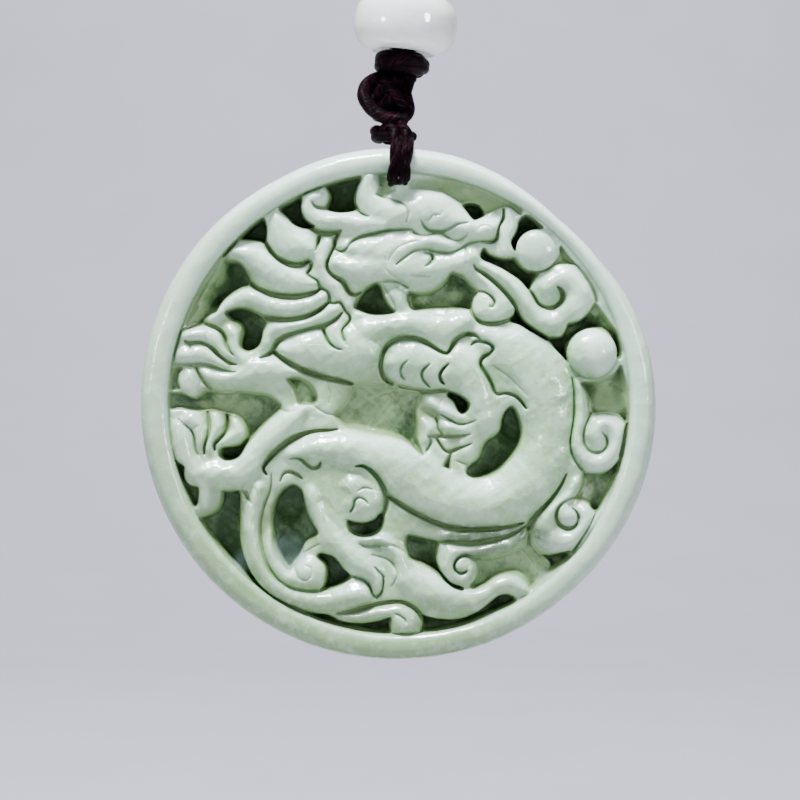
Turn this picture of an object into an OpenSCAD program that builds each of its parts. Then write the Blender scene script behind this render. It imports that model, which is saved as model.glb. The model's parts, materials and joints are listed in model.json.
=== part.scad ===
// Round carved jade pendant on a doubled cord, with a stone bead.
// Front is -Y, +X is to the right, +Z is up. Millimetres.
// The origin is the inside top of the hanging loop.

/* [Disc] */
// Diameter of the carved disc
disc_d = 50; // [44:1:60]
// Thickness of the stone at the crown of the rim
disc_t = 6; // [5.4:0.1:8]
// Width of the plain raised rim
rim_w = 2.8; // [2.4:0.1:3.4]
// How far the flat of the carving lies below the crown of the rim
relief_drop = 0.7; // [0.5:0.05:1]
// How high the rounded forms rise above the flat of the carving
form_rise = 0.55; // [0.3:0.05:0.65]
// Depth of the deep pockets below the crown of the rim
pocket_depth = 3.7; // [2.6:0.1:4.2]
// Depth of the carved lines below the flat of the carving
line_depth = 0.95; // [0.5:0.05:1.3]
// Width of the worn edge along every line and pocket
edge_w = 0.28; // [0.1:0.02:0.4]

/* [Cord hole] */
// Diameter of the hole that the cord passes through
hole_d = 2.8; // [2.6:0.1:3.2]
// Distance from the disc's edge to the middle of the hole
hole_in = 3.9; // [3.2:0.05:4.4]
// How far the hole lies to the left of the middle
hole_left = 0.1; // [0:0.05:0.4]
// Width of the countersink round the hole
sink_w = 0.6; // [0.3:0.05:0.9]

/* [Cord] */
// Diameter of the cord
cord_d = 1.1; // [0.9:0.05:1.2]
// Gap between the cord and the stone
cord_gap = 0.12; // [0.08:0.02:0.3]
// Gap between neighbouring pieces
piece_gap = 0.05; // [0.03:0.01:0.1]
// How far the strands lean to the right from the hole up to the knot
strand_lean = 0.45; // [0:0.05:0.8]
// Height of the knot that sits on the rim
rim_knot_h = 1.85; // [1.6:0.05:3]
// Width of the knot that sits on the rim
rim_knot_w = 4.4; // [3.6:0.1:6]
// Height of the looped knot
loop_knot_h = 4.85; // [4:0.05:7]
// Width of the looped knot
loop_knot_w = 5.75; // [4.6:0.1:7]
// Height of the wrapped knots below and above the bead
wrap_h = 2.05; // [1.6:0.05:3]
// Diameter of the wrapped knots
wrap_d = 5.6; // [4:0.1:7]
// How far the knot on the rim lies to the left of the middle
knot_left = 0.45; // [0:0.05:0.8]
// How much further left the looped knot lies
loop_knot_left = 0.8; // [0:0.05:1]
// How far each leg of the hanging loop stands from the cord's line at its foot
leg_spread = 1.2; // [0.8:0.05:1.5]
// Inside height of the hanging loop
loop_h = 31; // [26:1:40]
// Inside width of the hanging loop
loop_w = 11; // [8:0.5:16]

/* [Bead] */
// Diameter of the bead
bead_d = 10; // [8:0.25:12]
// Height of the bead
bead_h = 5.7; // [5:0.1:8]
// Diameter of the flat ends of the bead
bead_flat = 5.7; // [4:0.1:7]
// Diameter of the bead's bore
bead_bore = 2.7; // [2.5:0.1:3.2]
// How far the bead lies to the right of the middle
bead_x = 0.65; // [0:0.05:1]
// Lean of the bead and its knots, in degrees
bead_lean = 6; // [0:0.5:8]

/* [Hidden] */

stone = [0.80, 0.86, 0.77];
satin = [0.16, 0.06, 0.10];
agate = [0.90, 0.90, 0.88];

disc_r = disc_d / 2;
half_t = disc_t / 2;
field_r = disc_r - rim_w;
// The carving is drawn in hundredths, with the field inside the rim 88.8 across its radius
unit = field_r / 88.8;
flat_y = -(half_t - relief_drop);
// Cutters reach this far above the flat of the carving, clear of the highest form
over = form_rise + 0.3;
// The forms reach this far under the rim's inner edge
form_reach = 0.4;
// Share of a line's depth or a form's height that is left at its two ends
end_share = 0.3;
// Share of the depth that the thinnest line has, and how much each hundredth of width adds
line_least = 0.45;
line_gain = 0.7;
// Share of the height that the narrowest section of a form has, and how much its width adds
form_least = 0.35;
form_gain = 0.8;

// Where things stand along the cord, from the middle of the disc upwards
hole_z = disc_r - hole_in;
cord_r = cord_d / 2;
strand_x = cord_r + piece_gap / 2;
loop_knot_x = -knot_left - loop_knot_left;
rim_top = disc_r + cord_gap;
loop_knot_z = rim_top + rim_knot_h + piece_gap;
wrap_z = loop_knot_z + loop_knot_h + piece_gap;
bead_foot = wrap_z + wrap_h + piece_gap;
bead_z = bead_foot + bead_h / 2;
bead_head = bead_foot + bead_h + piece_gap;
loop_foot = bead_head + wrap_h + piece_gap + tan(bead_lean) * (leg_spread + cord_d);
hang_z = loop_foot + loop_h;

// Outline of the disc: angle from the right, radius as a share of the named one
outline_share = [
    [0, 0.995], [12, 0.99], [24, 0.977], [36, 0.953], [49, 0.944], [58, 0.955], [66, 0.968],
    [78, 0.984], [90, 0.99], [105, 0.992], [118, 0.987], [140, 0.998], [160, 1], [180, 1],
    [220, 1], [250, 0.996], [270, 0.99], [292, 0.989], [310, 0.987], [325, 0.992], [345, 0.997],
    [360, 0.995]];
// Section of the rim: share of the way from its inner to its outer edge, share of half thickness
rim_section = [
    [0.04, -0.85], [0.2, -0.96], [0.46, -1], [0.7, -0.93], [0.9, -0.7], [1, -0.25], [1, 0.3],
    [0.9, 0.8], [0.72, 1]];
rim_steps = 60;

// Pockets, as closed outlines: depth as a share of the deep pockets', then points [across, up]
pockets = [
    // between the two horns
    [1, [[-28.5, 84.4], [-23.5, 86.3], [-19, 87.4], [-15.5, 87.5], [-14.5, 86.4], [-15.8, 84],
         [-16.9, 80.5], [-16.9, 77.6], [-16.2, 75.4], [-18.5, 74.2], [-22.5, 73.8], [-26, 74.3],
         [-28.1, 75.6], [-27, 78.2], [-26.8, 80.5], [-27.8, 82.8]]],
    // behind the back horn
    [1, [[-46.2, 75.2], [-42, 77.7], [-38.3, 79.7], [-37.4, 78.6], [-37.8, 75.6], [-37, 72.4],
         [-34.8, 70], [-32.4, 68.4], [-34, 67.5], [-37.5, 67.8], [-40.8, 69.3], [-43, 71.8]]],
    // between the first two locks and the rim
    [1, [[-62, 63.8], [-59, 67], [-55.5, 70.2], [-52.5, 71.4], [-51.4, 69.5], [-51, 66.5],
         [-51.3, 63.6], [-51.8, 62], [-54, 62.7], [-58, 63.2]]],
    // long pocket along the rim at the left
    [0.97, [[-68.8, 57.2], [-65.5, 55.2], [-62, 54.7], [-60, 53], [-58.4, 50], [-57.4, 47.6],
         [-58.4, 45.6], [-61, 44.8], [-64.5, 42.7], [-67.6, 40], [-69.3, 37.4], [-70.4, 35.2],
         [-72.8, 34.1], [-74.8, 32.2], [-75.2, 30.7], [-78, 29.8], [-81, 28.7], [-84.2, 28.8],
         [-82, 34.2], [-80, 38.8], [-77, 44.5], [-73.6, 50.2], [-71, 54.2]]],
    // key-shaped pocket of the upper claw
    [1, [[-67.2, 35], [-64.5, 36.4], [-61.5, 37], [-58, 36.5], [-55, 35.1], [-52.5, 33.4],
         [-51.6, 31.2], [-52.5, 28], [-53, 25], [-54.1, 22.3], [-56, 20.8], [-58.3, 20.1],
         [-60.3, 20.8], [-61.3, 22.6], [-61, 25], [-60.4, 27.6], [-60.9, 30], [-62.4, 31.5],
         [-64.2, 32.1], [-65.8, 33.3]]],
    // triangle behind the jaw
    [1, [[-17.4, 37], [-16.4, 39.6], [-14.8, 42.2], [-12.4, 44.6], [-10, 46.1], [-8, 46.4],
         [-6.8, 44.8], [-5.8, 41.8], [-4.5, 39], [-3, 36.9], [-1.5, 35.2], [-5, 34.3],
         [-9.5, 34.2], [-13, 34.9], [-15.8, 36.1]]],
    // under the jaw
    [0.85, [[3.1, 40.6], [3.8, 43], [8, 42.5], [12, 43], [15.6, 45], [18.3, 47.9], [20, 50.3],
         [22.5, 50.2], [25.2, 48.6], [28, 45.6], [30.4, 43], [29, 40.9], [28.2, 38.4], [27.6, 36.3],
         [23, 36.9], [15, 36.9], [9.5, 36.4], [6, 36], [4.2, 37.3]]],
    // in front of the brow
    [1, [[24.6, 76.6], [26.6, 77.5], [30, 77.3], [32.2, 75.7], [33.2, 73.2], [31.5, 71.7],
         [29.2, 70.8], [27.8, 71.9], [26.2, 74.2]]],
    // left of the small pearl
    [1, [[48.2, 72.3], [50.5, 72.2], [54, 69.3], [55.4, 67.6], [52.4, 67.2], [49.2, 66.2],
         [46.6, 63.6], [45.6, 60.6], [45, 58.8], [43.9, 60.2], [43.3, 62.5], [44.6, 65.1],
         [45.8, 67.8], [46.2, 70.2]]],
    // below the lip, along the upper whisker
    [1, [[31.5, 56.3], [32.6, 59.8], [34.4, 57.9], [37.5, 56.5], [41, 55.8], [44.5, 56],
         [46.6, 53.4], [49.8, 51.2], [53.8, 50.3], [52.4, 48.2], [51.2, 46], [50, 43.9],
         [47.6, 46.7], [44, 49.6], [39.6, 52.3], [35, 54.4]]],
    // between the small pearl and the cloud
    [0.75, [[60.4, 54.3], [61.7, 57.5], [62.2, 60.6], [64, 58.8], [66.2, 56], [67.6, 54],
         [64, 54.3]]],
    // right of the whisker's curl, along the body
    [1, [[45.2, 37.3], [46.6, 34.4], [48.4, 32.1], [51, 30], [54, 27.8], [57, 26],
         [60, 23.4], [56.4, 24.6], [53, 26.6], [50, 28.2], [46.8, 30.2], [42.5, 32.2], [44.4, 34.4]]],
    // round the large pearl
    [0.9, [[57.6, 25.2], [62.2, 25.6], [64, 27.6], [65.3, 30.6], [68, 31.2], [70.8, 32.8],
         [73.4, 35.8], [75.6, 38.8], [78, 35.8], [80.6, 32], [83.4, 28.4], [84.6, 24.8],
         [85.6, 20], [85.2, 17.4], [83.9, 18.2], [83.2, 22.6], [81.2, 26.6], [78.2, 28.9],
         [74.6, 29.3], [70.8, 28.2], [67.4, 25.9], [65.1, 22.7], [64.5, 19.5], [65.4, 15.6],
         [63, 18.3], [60, 21.6]]],
    // below the large pearl
    [0.8, [[84, 12.6], [85.4, 14.6], [86.5, 11.8], [87.6, 7], [88.3, 2], [88.6, -3.8],
         [88, -7.8], [85.2, -5.2], [82, -4.1], [78.6, -3.7], [74.4, -3.9], [73.8, -1],
         [72.9, 2.4], [71.4, 5.6], [70, 8], [73.4, 8], [77, 8.4], [80, 9.4], [82.4, 10.9]]],
    // below the right cloud
    [0.8, [[71.3, -26.9], [74.6, -27], [78.6, -26.7], [81.8, -25], [84, -22.6], [85.6, -20.4],
         [84.8, -25], [82.4, -30.4], [80, -35], [78, -39], [76.4, -41.5], [74.4, -40.6],
         [73.2, -38.6], [70.8, -37.1], [68.5, -35.9], [69.5, -33.6], [71, -29.6]]],
    // round the upper claw's last finger, at the rim
    [0.5, [[-87.6, 14.2], [-83.4, 13.8], [-84.8, 11.2], [-85.1, 8], [-84.3, 5.6], [-86, 5],
         [-88.2, 5.4], [-88.3, 9.5]]],
    // between the two left claws
    [0.68, [[-88.6, 3.9], [-86, 4.2], [-83.4, 3.9], [-80.6, 2.6], [-78.4, 2.1], [-76.4, 3.4],
         [-74.2, 5.1], [-70, 4.6], [-66, 4.3], [-62, 4.6], [-57, 4], [-52, 3.6], [-48.6, 2],
         [-46.2, 0], [-45.6, -1.6], [-48, -4], [-51.5, -7.2], [-54.6, -10.8], [-57.4, -14.4],
         [-60, -17.8], [-62.4, -20.5], [-66.4, -22.1], [-69.2, -20.6], [-69.5, -18.2],
         [-67.4, -17], [-63.4, -16.1], [-60.5, -14.9], [-58.8, -12], [-59.2, -9], [-60.8, -6.3],
         [-63.2, -4.6], [-66, -4.2], [-69, -3.2], [-72, -2.6], [-76, -2.9], [-80, -2.3],
         [-84.5, -1.8], [-88.6, -1.8]]],
    // beside the forearm
    [0.7, [[-43.4, 9.2], [-41.4, 10], [-38.6, 9.9], [-36, 9], [-33.8, 7], [-32.2, 4.6],
         [-31.5, 1.6], [-33, -0.2], [-37.6, -0.6], [-39.2, 0.6], [-39.6, 3.2], [-40.9, 6.3]]],
    // ground inside the upper bend of the body
    [0.56, [[-18.1, 7.4], [-12, 7.6], [-6, 7.1], [-1.6, 6.6], [3, 5.7], [8.2, 4.5], [7.5, 1],
         [6.7, -2.4], [7.1, -7], [7.1, -10.5], [7, -13], [8.2, -16.6], [9.6, -20], [7.4, -18.7],
         [4, -15.4], [0, -12.7], [-4, -11.8], [-9, -10.4], [-14, -9.4], [-18.4, -9.1],
         [-21.2, -8.4], [-23.2, -6.4], [-25.2, -4.3], [-22.8, -2.1], [-20.4, 0], [-19, 3]]],
    // small hole by the right claw
    [1, [[18.6, 3], [19.5, 4.5], [22, 3.9], [25, 2.3], [27, 0.2], [26.8, -1.8], [25.8, -3.3],
         [24.3, -4], [22.9, -3], [22, -1], [21, 0.8]]],
    // inside the right bend of the body
    [0.92, [[43.3, -1], [44.9, -2.4], [46.2, -5.2], [47.1, -8.6], [47.3, -12], [46.4, -15.6],
         [44.6, -19], [42.4, -21.8], [39.4, -24.8], [36, -27], [33, -28.2], [30, -28.7],
         [27.4, -28.2], [26, -26.8], [26.4, -24.8], [28, -23.2], [30, -21.8], [31.5, -19.4],
         [32.6, -16.4], [34.2, -14], [36.6, -12.6], [38.5, -11], [39.3, -8.8], [39.8, -5.8],
         [41, -3]]],
    // by the lower claw's palm, at the rim
    [0.75, [[-86.2, -22.2], [-84, -23.4], [-82.6, -24.4], [-82.8, -27.4], [-82, -30],
         [-80, -31.7], [-77.3, -32.2], [-77.2, -36], [-77.7, -38.6], [-78.9, -39.8],
         [-80.8, -36.6], [-82.8, -32.8], [-84.6, -28.4]]],
    // left of the tail
    [0.95, [[-68.2, -34], [-65, -33.9], [-61.4, -34.1], [-61.3, -42], [-61.3, -50], [-60.9, -54.6],
         [-59.8, -58.8], [-58.2, -62.8], [-56.6, -66], [-54, -69.5], [-50.6, -72.8], [-46.5, -75.6],
         [-47.6, -76.3], [-52, -73], [-56, -69.6], [-60, -65.8], [-64, -61.6], [-68, -57],
         [-72, -52], [-75.6, -47.2], [-77.3, -44.8], [-74, -43.3], [-71.4, -42], [-69.6, -40],
         [-68.6, -37.4]]],
    // large drop inside the tail
    [1, [[-41.5, -31.3], [-39, -32], [-37.2, -34.4], [-36.3, -38.4], [-35.2, -42.4],
         [-33.2, -46.3], [-31.2, -49.8], [-33, -52], [-35.6, -53.8], [-37, -56.4], [-38.2, -59],
         [-40.2, -61.4], [-42.4, -64], [-44.4, -62], [-46.2, -59], [-47.7, -55], [-48.7, -50],
         [-49.2, -45], [-48.6, -40.4], [-47.2, -36.5], [-45, -33.3]]],
    // under the leaf's curl
    [0.9, [[-20.1, -45], [-18, -45.4], [-15, -46], [-12, -45.7], [-9.4, -44.5], [-7.4, -42.4],
         [-5.9, -42.4], [-6, -46], [-7.4, -49], [-10, -50.9], [-14, -51.4], [-17.8, -50.4],
         [-19.6, -48.4]]],
    // behind the hind foot
    [1, [[-31.6, -59.2], [-30.4, -57.8], [-27.8, -58.3], [-25.4, -59], [-23.4, -61], [-21.4, -63.8],
         [-18.7, -66.8], [-21.6, -69.4], [-25, -71], [-28, -71.9], [-30.2, -72], [-28.9, -70],
         [-28.1, -67], [-28.1, -64], [-29, -61.8]]],
    // long slot above the rim, at the bottom left
    [0.9, [[-36, -80.3], [-32, -81], [-28, -81.4], [-25.4, -82.4], [-23, -83.7], [-20, -84.4],
         [-16, -84.9], [-12, -84.7], [-8, -84], [-5, -83], [-3.2, -82.6], [-3.6, -85.4],
         [-3.4, -88.2], [-8, -88.4], [-13, -87.9], [-18, -87], [-22.6, -85.9], [-27, -84.6],
         [-32, -83]]],
    // long slot above the rim, at the bottom right
    [0.95, [[8.4, -81.2], [10.4, -82], [13.4, -82.8], [17, -83.3], [21, -83.4], [25, -82.7],
         [28, -81.5], [31, -80], [33.5, -78.2], [36, -76], [38.5, -74.3], [41.2, -73.7],
         [43.6, -74.3], [45.1, -75.8], [43.6, -77.3], [40.6, -78.6], [36.8, -80.2], [32.6, -81.9],
         [28.8, -83.5], [24.8, -85.1], [20.6, -86.5], [16, -87.5], [11.6, -88], [8.4, -87.9],
         [9, -85.6], [9, -83.2]]],
    // between the two lower curls
    [0.85, [[3.2, -50.8], [6.2, -51.1], [10, -52], [13.4, -52.7], [15.2, -53.6], [14.8, -57],
         [14.6, -60.6], [15.8, -63.8], [18, -67], [20.6, -69.4], [24.6, -70.9], [24, -71.8],
         [20.8, -70.6], [18, -68.5], [15.4, -66], [12, -63.5], [9, -61.9], [5.6, -60.8],
         [3.8, -59.4], [3, -57], [2.4, -54]]],
    // ground below the fins
    [0.62, [[30.2, -60.4], [34.4, -59.9], [38.4, -59], [42.4, -57.7], [46.2, -56.2], [48.4, -54.8],
         [49.2, -51.4], [50.3, -48], [51, -50.4], [51.4, -53.6], [53, -56.4], [55.4, -58],
         [59, -58.3], [62.4, -57.5], [66.4, -57], [64.6, -59.8], [61.4, -62.8], [57.6, -66],
         [53.6, -69.2], [50.8, -71.4], [49.2, -68.4], [47.3, -66.2], [45, -65], [42, -65],
         [39, -66], [36.4, -67.4], [34, -69.4], [31.2, -71], [28.6, -71.5], [27.5, -70.3],
         [29.3, -68], [30.4, -65.4], [30.6, -62.6]]],
    // shallow ground under the fingertips
    [0.3, [[8.4, -2], [12, -1.9], [15.6, -3.7], [14.4, -5.2], [12, -5.2], [9.6, -4]]],
    // between the spur and the claw
    [0.5, [[20.3, -18.9], [18.9, -20.4], [17.8, -22.2], [17, -24.2], [18.2, -25], [19.7, -25.6],
         [19.9, -22.6]]],
    // beside the cord hole
    [0.42, [[-7.6, 87.6], [-4.4, 88.2], [-1, 83], [-3, 81.4], [-4.8, 79.4], [-7.4, 79.4],
         [-8.6, 81], [-7.7, 83.8]]],
    // slope above the brow, along the rim
    [0.36, [[4.6, 86.4], [12, 86.8], [19, 86.6], [24, 85.4], [29, 84], [34, 82], [39, 79.6],
         [44, 76.8], [47.6, 74.4], [46.6, 72.6], [43, 75.2], [39.6, 75.6], [36.2, 74.4], [33.8, 73.6],
         [32.4, 76.4], [30.2, 78], [26.4, 78], [24, 77.4], [20.4, 79.4], [15.6, 81.3], [8.6, 82.2],
         [3.4, 82.6]]]
];

// Carved lines: depth as a share of the named one, then points [across, up, half width]
lines = [
    // horns and brow
    [0.7, [[-33.6, 77.6, 0.4], [-32.4, 76, 0.6], [-30.4, 75.3, 0.6], [-28, 75.3, 0.7]]],
    [0.8, [[-38.4, 79.9, 0.6], [-34, 82, 0.7], [-29, 84.2, 0.7]]],
    [0.7, [[-16.3, 75.4, 0.6], [-15, 73.6, 0.6], [-13, 72.4, 0.5], [-11.4, 72, 0.2]]],
    [1.1, [[-34, 67.6, 0.6], [-31, 66.2, 0.9], [-27.6, 65.6, 0.9], [-24, 66, 0.7], [-22.4, 66.6, 0.4]]],
    [0.9, [[-30.6, 65.4, 0.6], [-31.2, 62, 0.7], [-32.2, 58.8, 0.3]]],
    [1, [[-23, 66, 0.5], [-24.6, 63.4, 0.8], [-25, 60.6, 0.7], [-26.6, 57.4, 0.7], [-27.8, 54, 0.7],
         [-27.4, 51.2, 0.7], [-25, 48.8, 0.8], [-22, 47.2, 0.9], [-20.6, 45, 0.8], [-19.2, 42.8, 0.8],
         [-17, 42, 0.6], [-14.8, 42.8, 0.4]]],
    [0.8, [[-24.4, 59.4, 0.4], [-22.4, 58.6, 0.5], [-20.4, 59.4, 0.6], [-18.4, 62, 0.7],
         [-15, 64, 0.7], [-10, 65.3, 0.6], [-5, 66.4, 0.6], [0, 66.8, 0.5], [4.4, 67, 0.3]]],
    [0.6, [[-8.6, 80.4, 0.7], [-5, 79, 0.6], [0, 77.6, 0.5], [2.8, 75.4, 0.4], [3.6, 72.6, 0.4],
         [2.8, 69.6, 0.3]]],
    [0.6, [[4.6, 67.2, 0.3], [6.6, 65.3, 0.5], [10, 64.6, 0.5], [14, 65.6, 0.5], [16.4, 65.6, 0.6],
         [18.6, 64, 0.5], [20.6, 62.9, 0.4], [23, 62.8, 0.4], [25.4, 64, 0.4], [26.6, 65.6, 0.2]]],
    [0.8, [[8.6, 70.2, 0.4], [9.8, 68, 0.6], [12, 66.5, 0.6], [16, 66.2, 0.7], [19, 67, 0.6],
         [22.4, 68.8, 0.5], [26.6, 69.6, 0.2]]],
    [0.5, [[9.4, 70, 0.3], [11.6, 70.6, 0.4], [13, 72.2, 0.4], [15.8, 72.4, 0.2]]],
    [1, [[31.6, 62.4, 0.4], [35.4, 62.2, 0.7], [37.6, 63.4, 0.7], [38.2, 66.4, 0.6], [39, 69, 0.6],
         [40.3, 71.4, 0.6], [40.4, 75, 0.4]]],
    [0.7, [[-1, 53.4, 0.5], [2, 56, 0.6], [5.6, 58.5, 0.6], [10, 59.2, 0.5], [14, 58.4, 0.5],
         [19, 57.9, 0.5], [23, 59.2, 0.5], [27, 61.5, 0.5], [31, 62.4, 0.5]]],
    [0.5, [[-1, 59.4, 0.2], [3, 61.4, 0.3], [6.4, 62.3, 0.2]]],
    [0.8, [[9.8, 58, 0.2], [12.4, 57.4, 0.6], [12.9, 55.4, 0.8], [11.6, 53.8, 0.7], [10.2, 52.8, 0.3]]],
    [0.5, [[25.4, 60.8, 0.3], [25.8, 57, 0.4], [25.9, 53.4, 0.3]]],
    [0.5, [[4.2, 48.9, 0.2], [8, 49, 0.4], [12, 48.8, 0.3]]],
    [0.7, [[3.4, 44.6, 0.4], [0, 46.4, 0.5], [-4, 47, 0.6], [-7, 46.4, 0.4]]],
    [1, [[28.8, 53.4, 0.3], [30, 51.6, 0.5], [33, 49.8, 0.9], [36.6, 46.9, 0.9], [40, 43.6, 0.9],
         [43, 40.2, 0.9], [45, 37.3, 0.8]]],
    [0.8, [[30.6, 43.3, 0.5], [33.2, 42.8, 0.6], [35.6, 41, 0.7], [36.8, 39, 0.7], [36, 37.4, 0.5],
         [34.8, 37.4, 0.3]]],
    [1, [[27.8, 36, 0.6], [28.8, 33.8, 0.7], [30.8, 31.8, 0.8], [33.6, 30.8, 0.8], [37, 30.7, 0.9],
         [40, 31.4, 0.8], [42.6, 32.4, 0.6]]],
    [1, [[50.4, 43.8, 0.4], [52.2, 41, 0.6], [53.8, 38.4, 0.7], [56.4, 37, 0.7], [59.4, 36.9, 0.8],
         [61.8, 38.4, 0.9], [63.2, 40.8, 0.9], [62.7, 43.2, 0.9], [61, 44.9, 0.4]]],
    [0.8, [[53.6, 50.6, 0.6], [57, 52, 0.7], [60, 54, 0.7], [64, 54.2, 0.6], [68, 53.6, 0.6],
         [70.6, 50.6, 0.6], [73.2, 46.8, 0.7], [75.2, 43, 0.8], [76.2, 39.4, 0.8]]],
    // mane locks and neck fringe
    [0.9, [[-62.4, 63.6, 0.6], [-65, 60, 0.8], [-68.6, 57, 0.7]]],
    [1.2, [[-51.6, 62.4, 0.6], [-50, 59.4, 0.9], [-47.6, 56.7, 1], [-44.6, 54.7, 1.1], [-41, 53.4, 1.1],
         [-37.6, 53.6, 1], [-35, 54.8, 0.7]]],
    [0.8, [[-35, 55.2, 0.5], [-33.8, 53.8, 0.7], [-34.4, 51.6, 0.7], [-35.4, 50, 0.6],
         [-33.6, 48.5, 0.6], [-31.4, 47.2, 0.7], [-30.6, 45, 0.7], [-29, 44, 0.6], [-27.4, 43, 0.7],
         [-26.8, 41, 0.7], [-27, 39.2, 0.6], [-25, 38.6, 0.6], [-23, 39.1, 0.6], [-21.8, 37.8, 0.6],
         [-20.6, 35.6, 0.5], [-19.2, 34, 0.5], [-18.9, 32.2, 0.6], [-20.4, 30.2, 0.6],
         [-21.8, 28.4, 0.6], [-21.6, 26, 0.7], [-20.8, 24, 0.7], [-20.2, 22.6, 0.3]]],
    [1.2, [[-58, 47.4, 0.7], [-56, 45.2, 0.9], [-53, 43.5, 1], [-49, 42, 1.1], [-44, 41.2, 1.2],
         [-39, 41.2, 1.2], [-35, 42, 1], [-32, 43, 0.7], [-30.4, 44.2, 0.5]]],
    [1.2, [[-52.6, 33.2, 0.7], [-49, 32.7, 0.9], [-45, 32.3, 0.9], [-41, 32.4, 0.9], [-37, 33.1, 0.9],
         [-33, 34.6, 0.9], [-30, 36.4, 0.8], [-27.4, 38.8, 0.6]]],
    [0.9, [[-53.4, 17.6, 0.4], [-50.6, 18.8, 0.7], [-48.6, 20.6, 1], [-47.2, 23.4, 1], [-44.6, 25.6, 0.9],
         [-41, 26.9, 0.7], [-37, 28.1, 0.7], [-33, 29.2, 0.7], [-29, 29.9, 0.8], [-26, 31.3, 0.7],
         [-23.6, 33.2, 0.6], [-21.9, 35, 0.4]]],
    [0.8, [[-29.4, 29.6, 0.7], [-28.6, 27, 0.7], [-27.4, 24.2, 0.7], [-25.6, 22.2, 0.6],
         [-23.4, 21, 0.5], [-22, 20.8, 0.2]]],
    // upper bend of the body, thigh and ribs
    [1.2, [[-48.6, 20.2, 0.7], [-46, 18, 1], [-42, 15.4, 1.1], [-38, 13.2, 1.2], [-33, 11.4, 1.1],
         [-28, 9.9, 1], [-23, 8.8, 0.9], [-18, 7.6, 0.6]]],
    [1, [[-2.4, 7.6, 0.5], [-4.6, 8.8, 0.8], [-6.2, 11, 0.9], [-6.9, 14, 0.9], [-6.7, 17.4, 0.9],
         [-5.6, 20.6, 0.9], [-3.6, 23, 0.9], [-0.6, 24.6, 0.9], [3.4, 25.3, 0.9], [7, 24.9, 0.9],
         [10.6, 23.3, 0.9], [13.8, 21.3, 0.9], [16.4, 19.8, 0.8], [18.6, 19.4, 0.8],
         [20, 21.2, 0.8], [21.4, 23.8, 0.9], [23.6, 25.8, 0.8], [26.6, 26.8, 0.8], [29.4, 26.2, 0.7],
         [31.4, 24.4, 0.4]]],
    [0.9, [[27.8, 22.4, 0.3], [29.2, 23.7, 0.6], [32, 23.9, 0.7], [35, 22.8, 0.7], [36.2, 21.2, 0.7],
         [35, 19.4, 0.7], [32.6, 18, 0.8], [31.4, 16, 0.8], [31.9, 13.6, 0.9], [33.8, 10.8, 0.9],
         [35.6, 7.6, 0.8], [36.6, 4.8, 0.8], [38, 3.6, 0.7], [41, 4, 0.6], [44.4, 3.2, 0.7],
         [47, 1, 0.7], [49, -2, 0.4]]],
    [0.4, [[36, 14.6, 0.2], [40.6, 11.6, 0.4], [45, 7.6, 0.3], [49, 3, 0.2]]],
    [0.7, [[3.4, 16.6, 0.2], [1.4, 14.8, 0.5], [0.6, 12.6, 0.5], [1, 10.6, 0.5], [2.4, 9, 0.2]]],
    [0.8, [[11.8, 15.2, 0.3], [9.6, 13.2, 0.6], [8.7, 11.2, 0.6], [9.4, 9, 0.6], [11, 7.2, 0.5],
         [12, 6, 0.2]]],
    [1, [[19, 15.2, 0.3], [16.8, 13, 0.6], [15.7, 10.8, 0.7], [16.2, 8.8, 0.7], [17.3, 7.5, 0.4]]],
    [0.9, [[0, 6.6, 0.4], [4, 5.4, 0.6], [8.4, 4.7, 0.7], [12.4, 4.5, 0.6], [16, 4.9, 0.7], [19, 4.8, 0.6]]],
    // left fingers, upper claw
    [0.9, [[-75.4, 31, 0.6], [-73, 30.2, 0.8], [-70.6, 29.2, 0.8], [-68.4, 27.4, 0.8], [-67.2, 25, 0.8],
         [-66.6, 22.6, 0.7], [-65.4, 20.4, 0.6], [-63.8, 18.6, 0.3]]],
    [0.9, [[-82.4, 24, 0.5], [-80.4, 23.2, 0.7], [-77.4, 23.6, 0.6], [-74.4, 22.7, 0.7], [-72, 21.2, 0.8],
         [-69.8, 18.9, 0.8], [-67, 16.6, 0.7], [-64.6, 15.4, 0.5], [-62.6, 15, 0.2]]],
    [0.5, [[-80.6, 22.6, 0.5], [-80, 20, 0.4], [-79.8, 17.4, 0.2]]],
    [0.7, [[-87.4, 15, 0.6], [-83, 14.9, 0.6], [-79, 14.9, 0.7], [-75, 15, 0.6], [-71.4, 14.1, 0.6],
         [-68, 12.9, 0.6], [-65, 12.2, 0.5], [-62.8, 12.1, 0.2]]],
    [0.8, [[-78.6, 14.6, 0.5], [-77.2, 11.8, 0.6], [-75.4, 8.9, 0.6], [-73.4, 6.4, 0.6], [-72.4, 5, 0.5]]],
    [0.7, [[-88.4, 14, 0.8], [-87, 19, 0.7], [-85.8, 23.6, 0.8], [-84.4, 28, 0.8]]],
    // left fingers, lower claw
    [1, [[-66.6, -4.4, 0.6], [-66.2, -7, 0.7], [-66.5, -9.6, 0.8], [-67.8, -12, 0.8],
         [-69.6, -14, 0.8], [-71.2, -15.8, 0.6], [-71, -18, 0.3]]],
    [0.9, [[-74, -3.2, 0.5], [-73.3, -7, 0.6], [-73.3, -11, 0.7], [-74.2, -14, 0.7], [-75, -16.8, 0.7],
         [-75, -19.4, 0.4]]],
    [0.6, [[-85.2, -6, 0.3], [-82.6, -8.1, 0.5], [-80.2, -10.3, 0.5], [-79, -12.6, 0.6],
         [-78.6, -15.4, 0.7], [-78.2, -18, 0.6], [-77.2, -20.2, 0.2]]],
    [0.4, [[-80, -9.8, 0.2], [-78.4, -9.2, 0.3], [-77, -8.4, 0.1]]],
    [0.7, [[-89, -2.4, 0.6], [-88.8, -8, 0.5], [-88.3, -14, 0.5], [-87.3, -19, 0.5], [-86.2, -22.4, 0.6]]],
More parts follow.
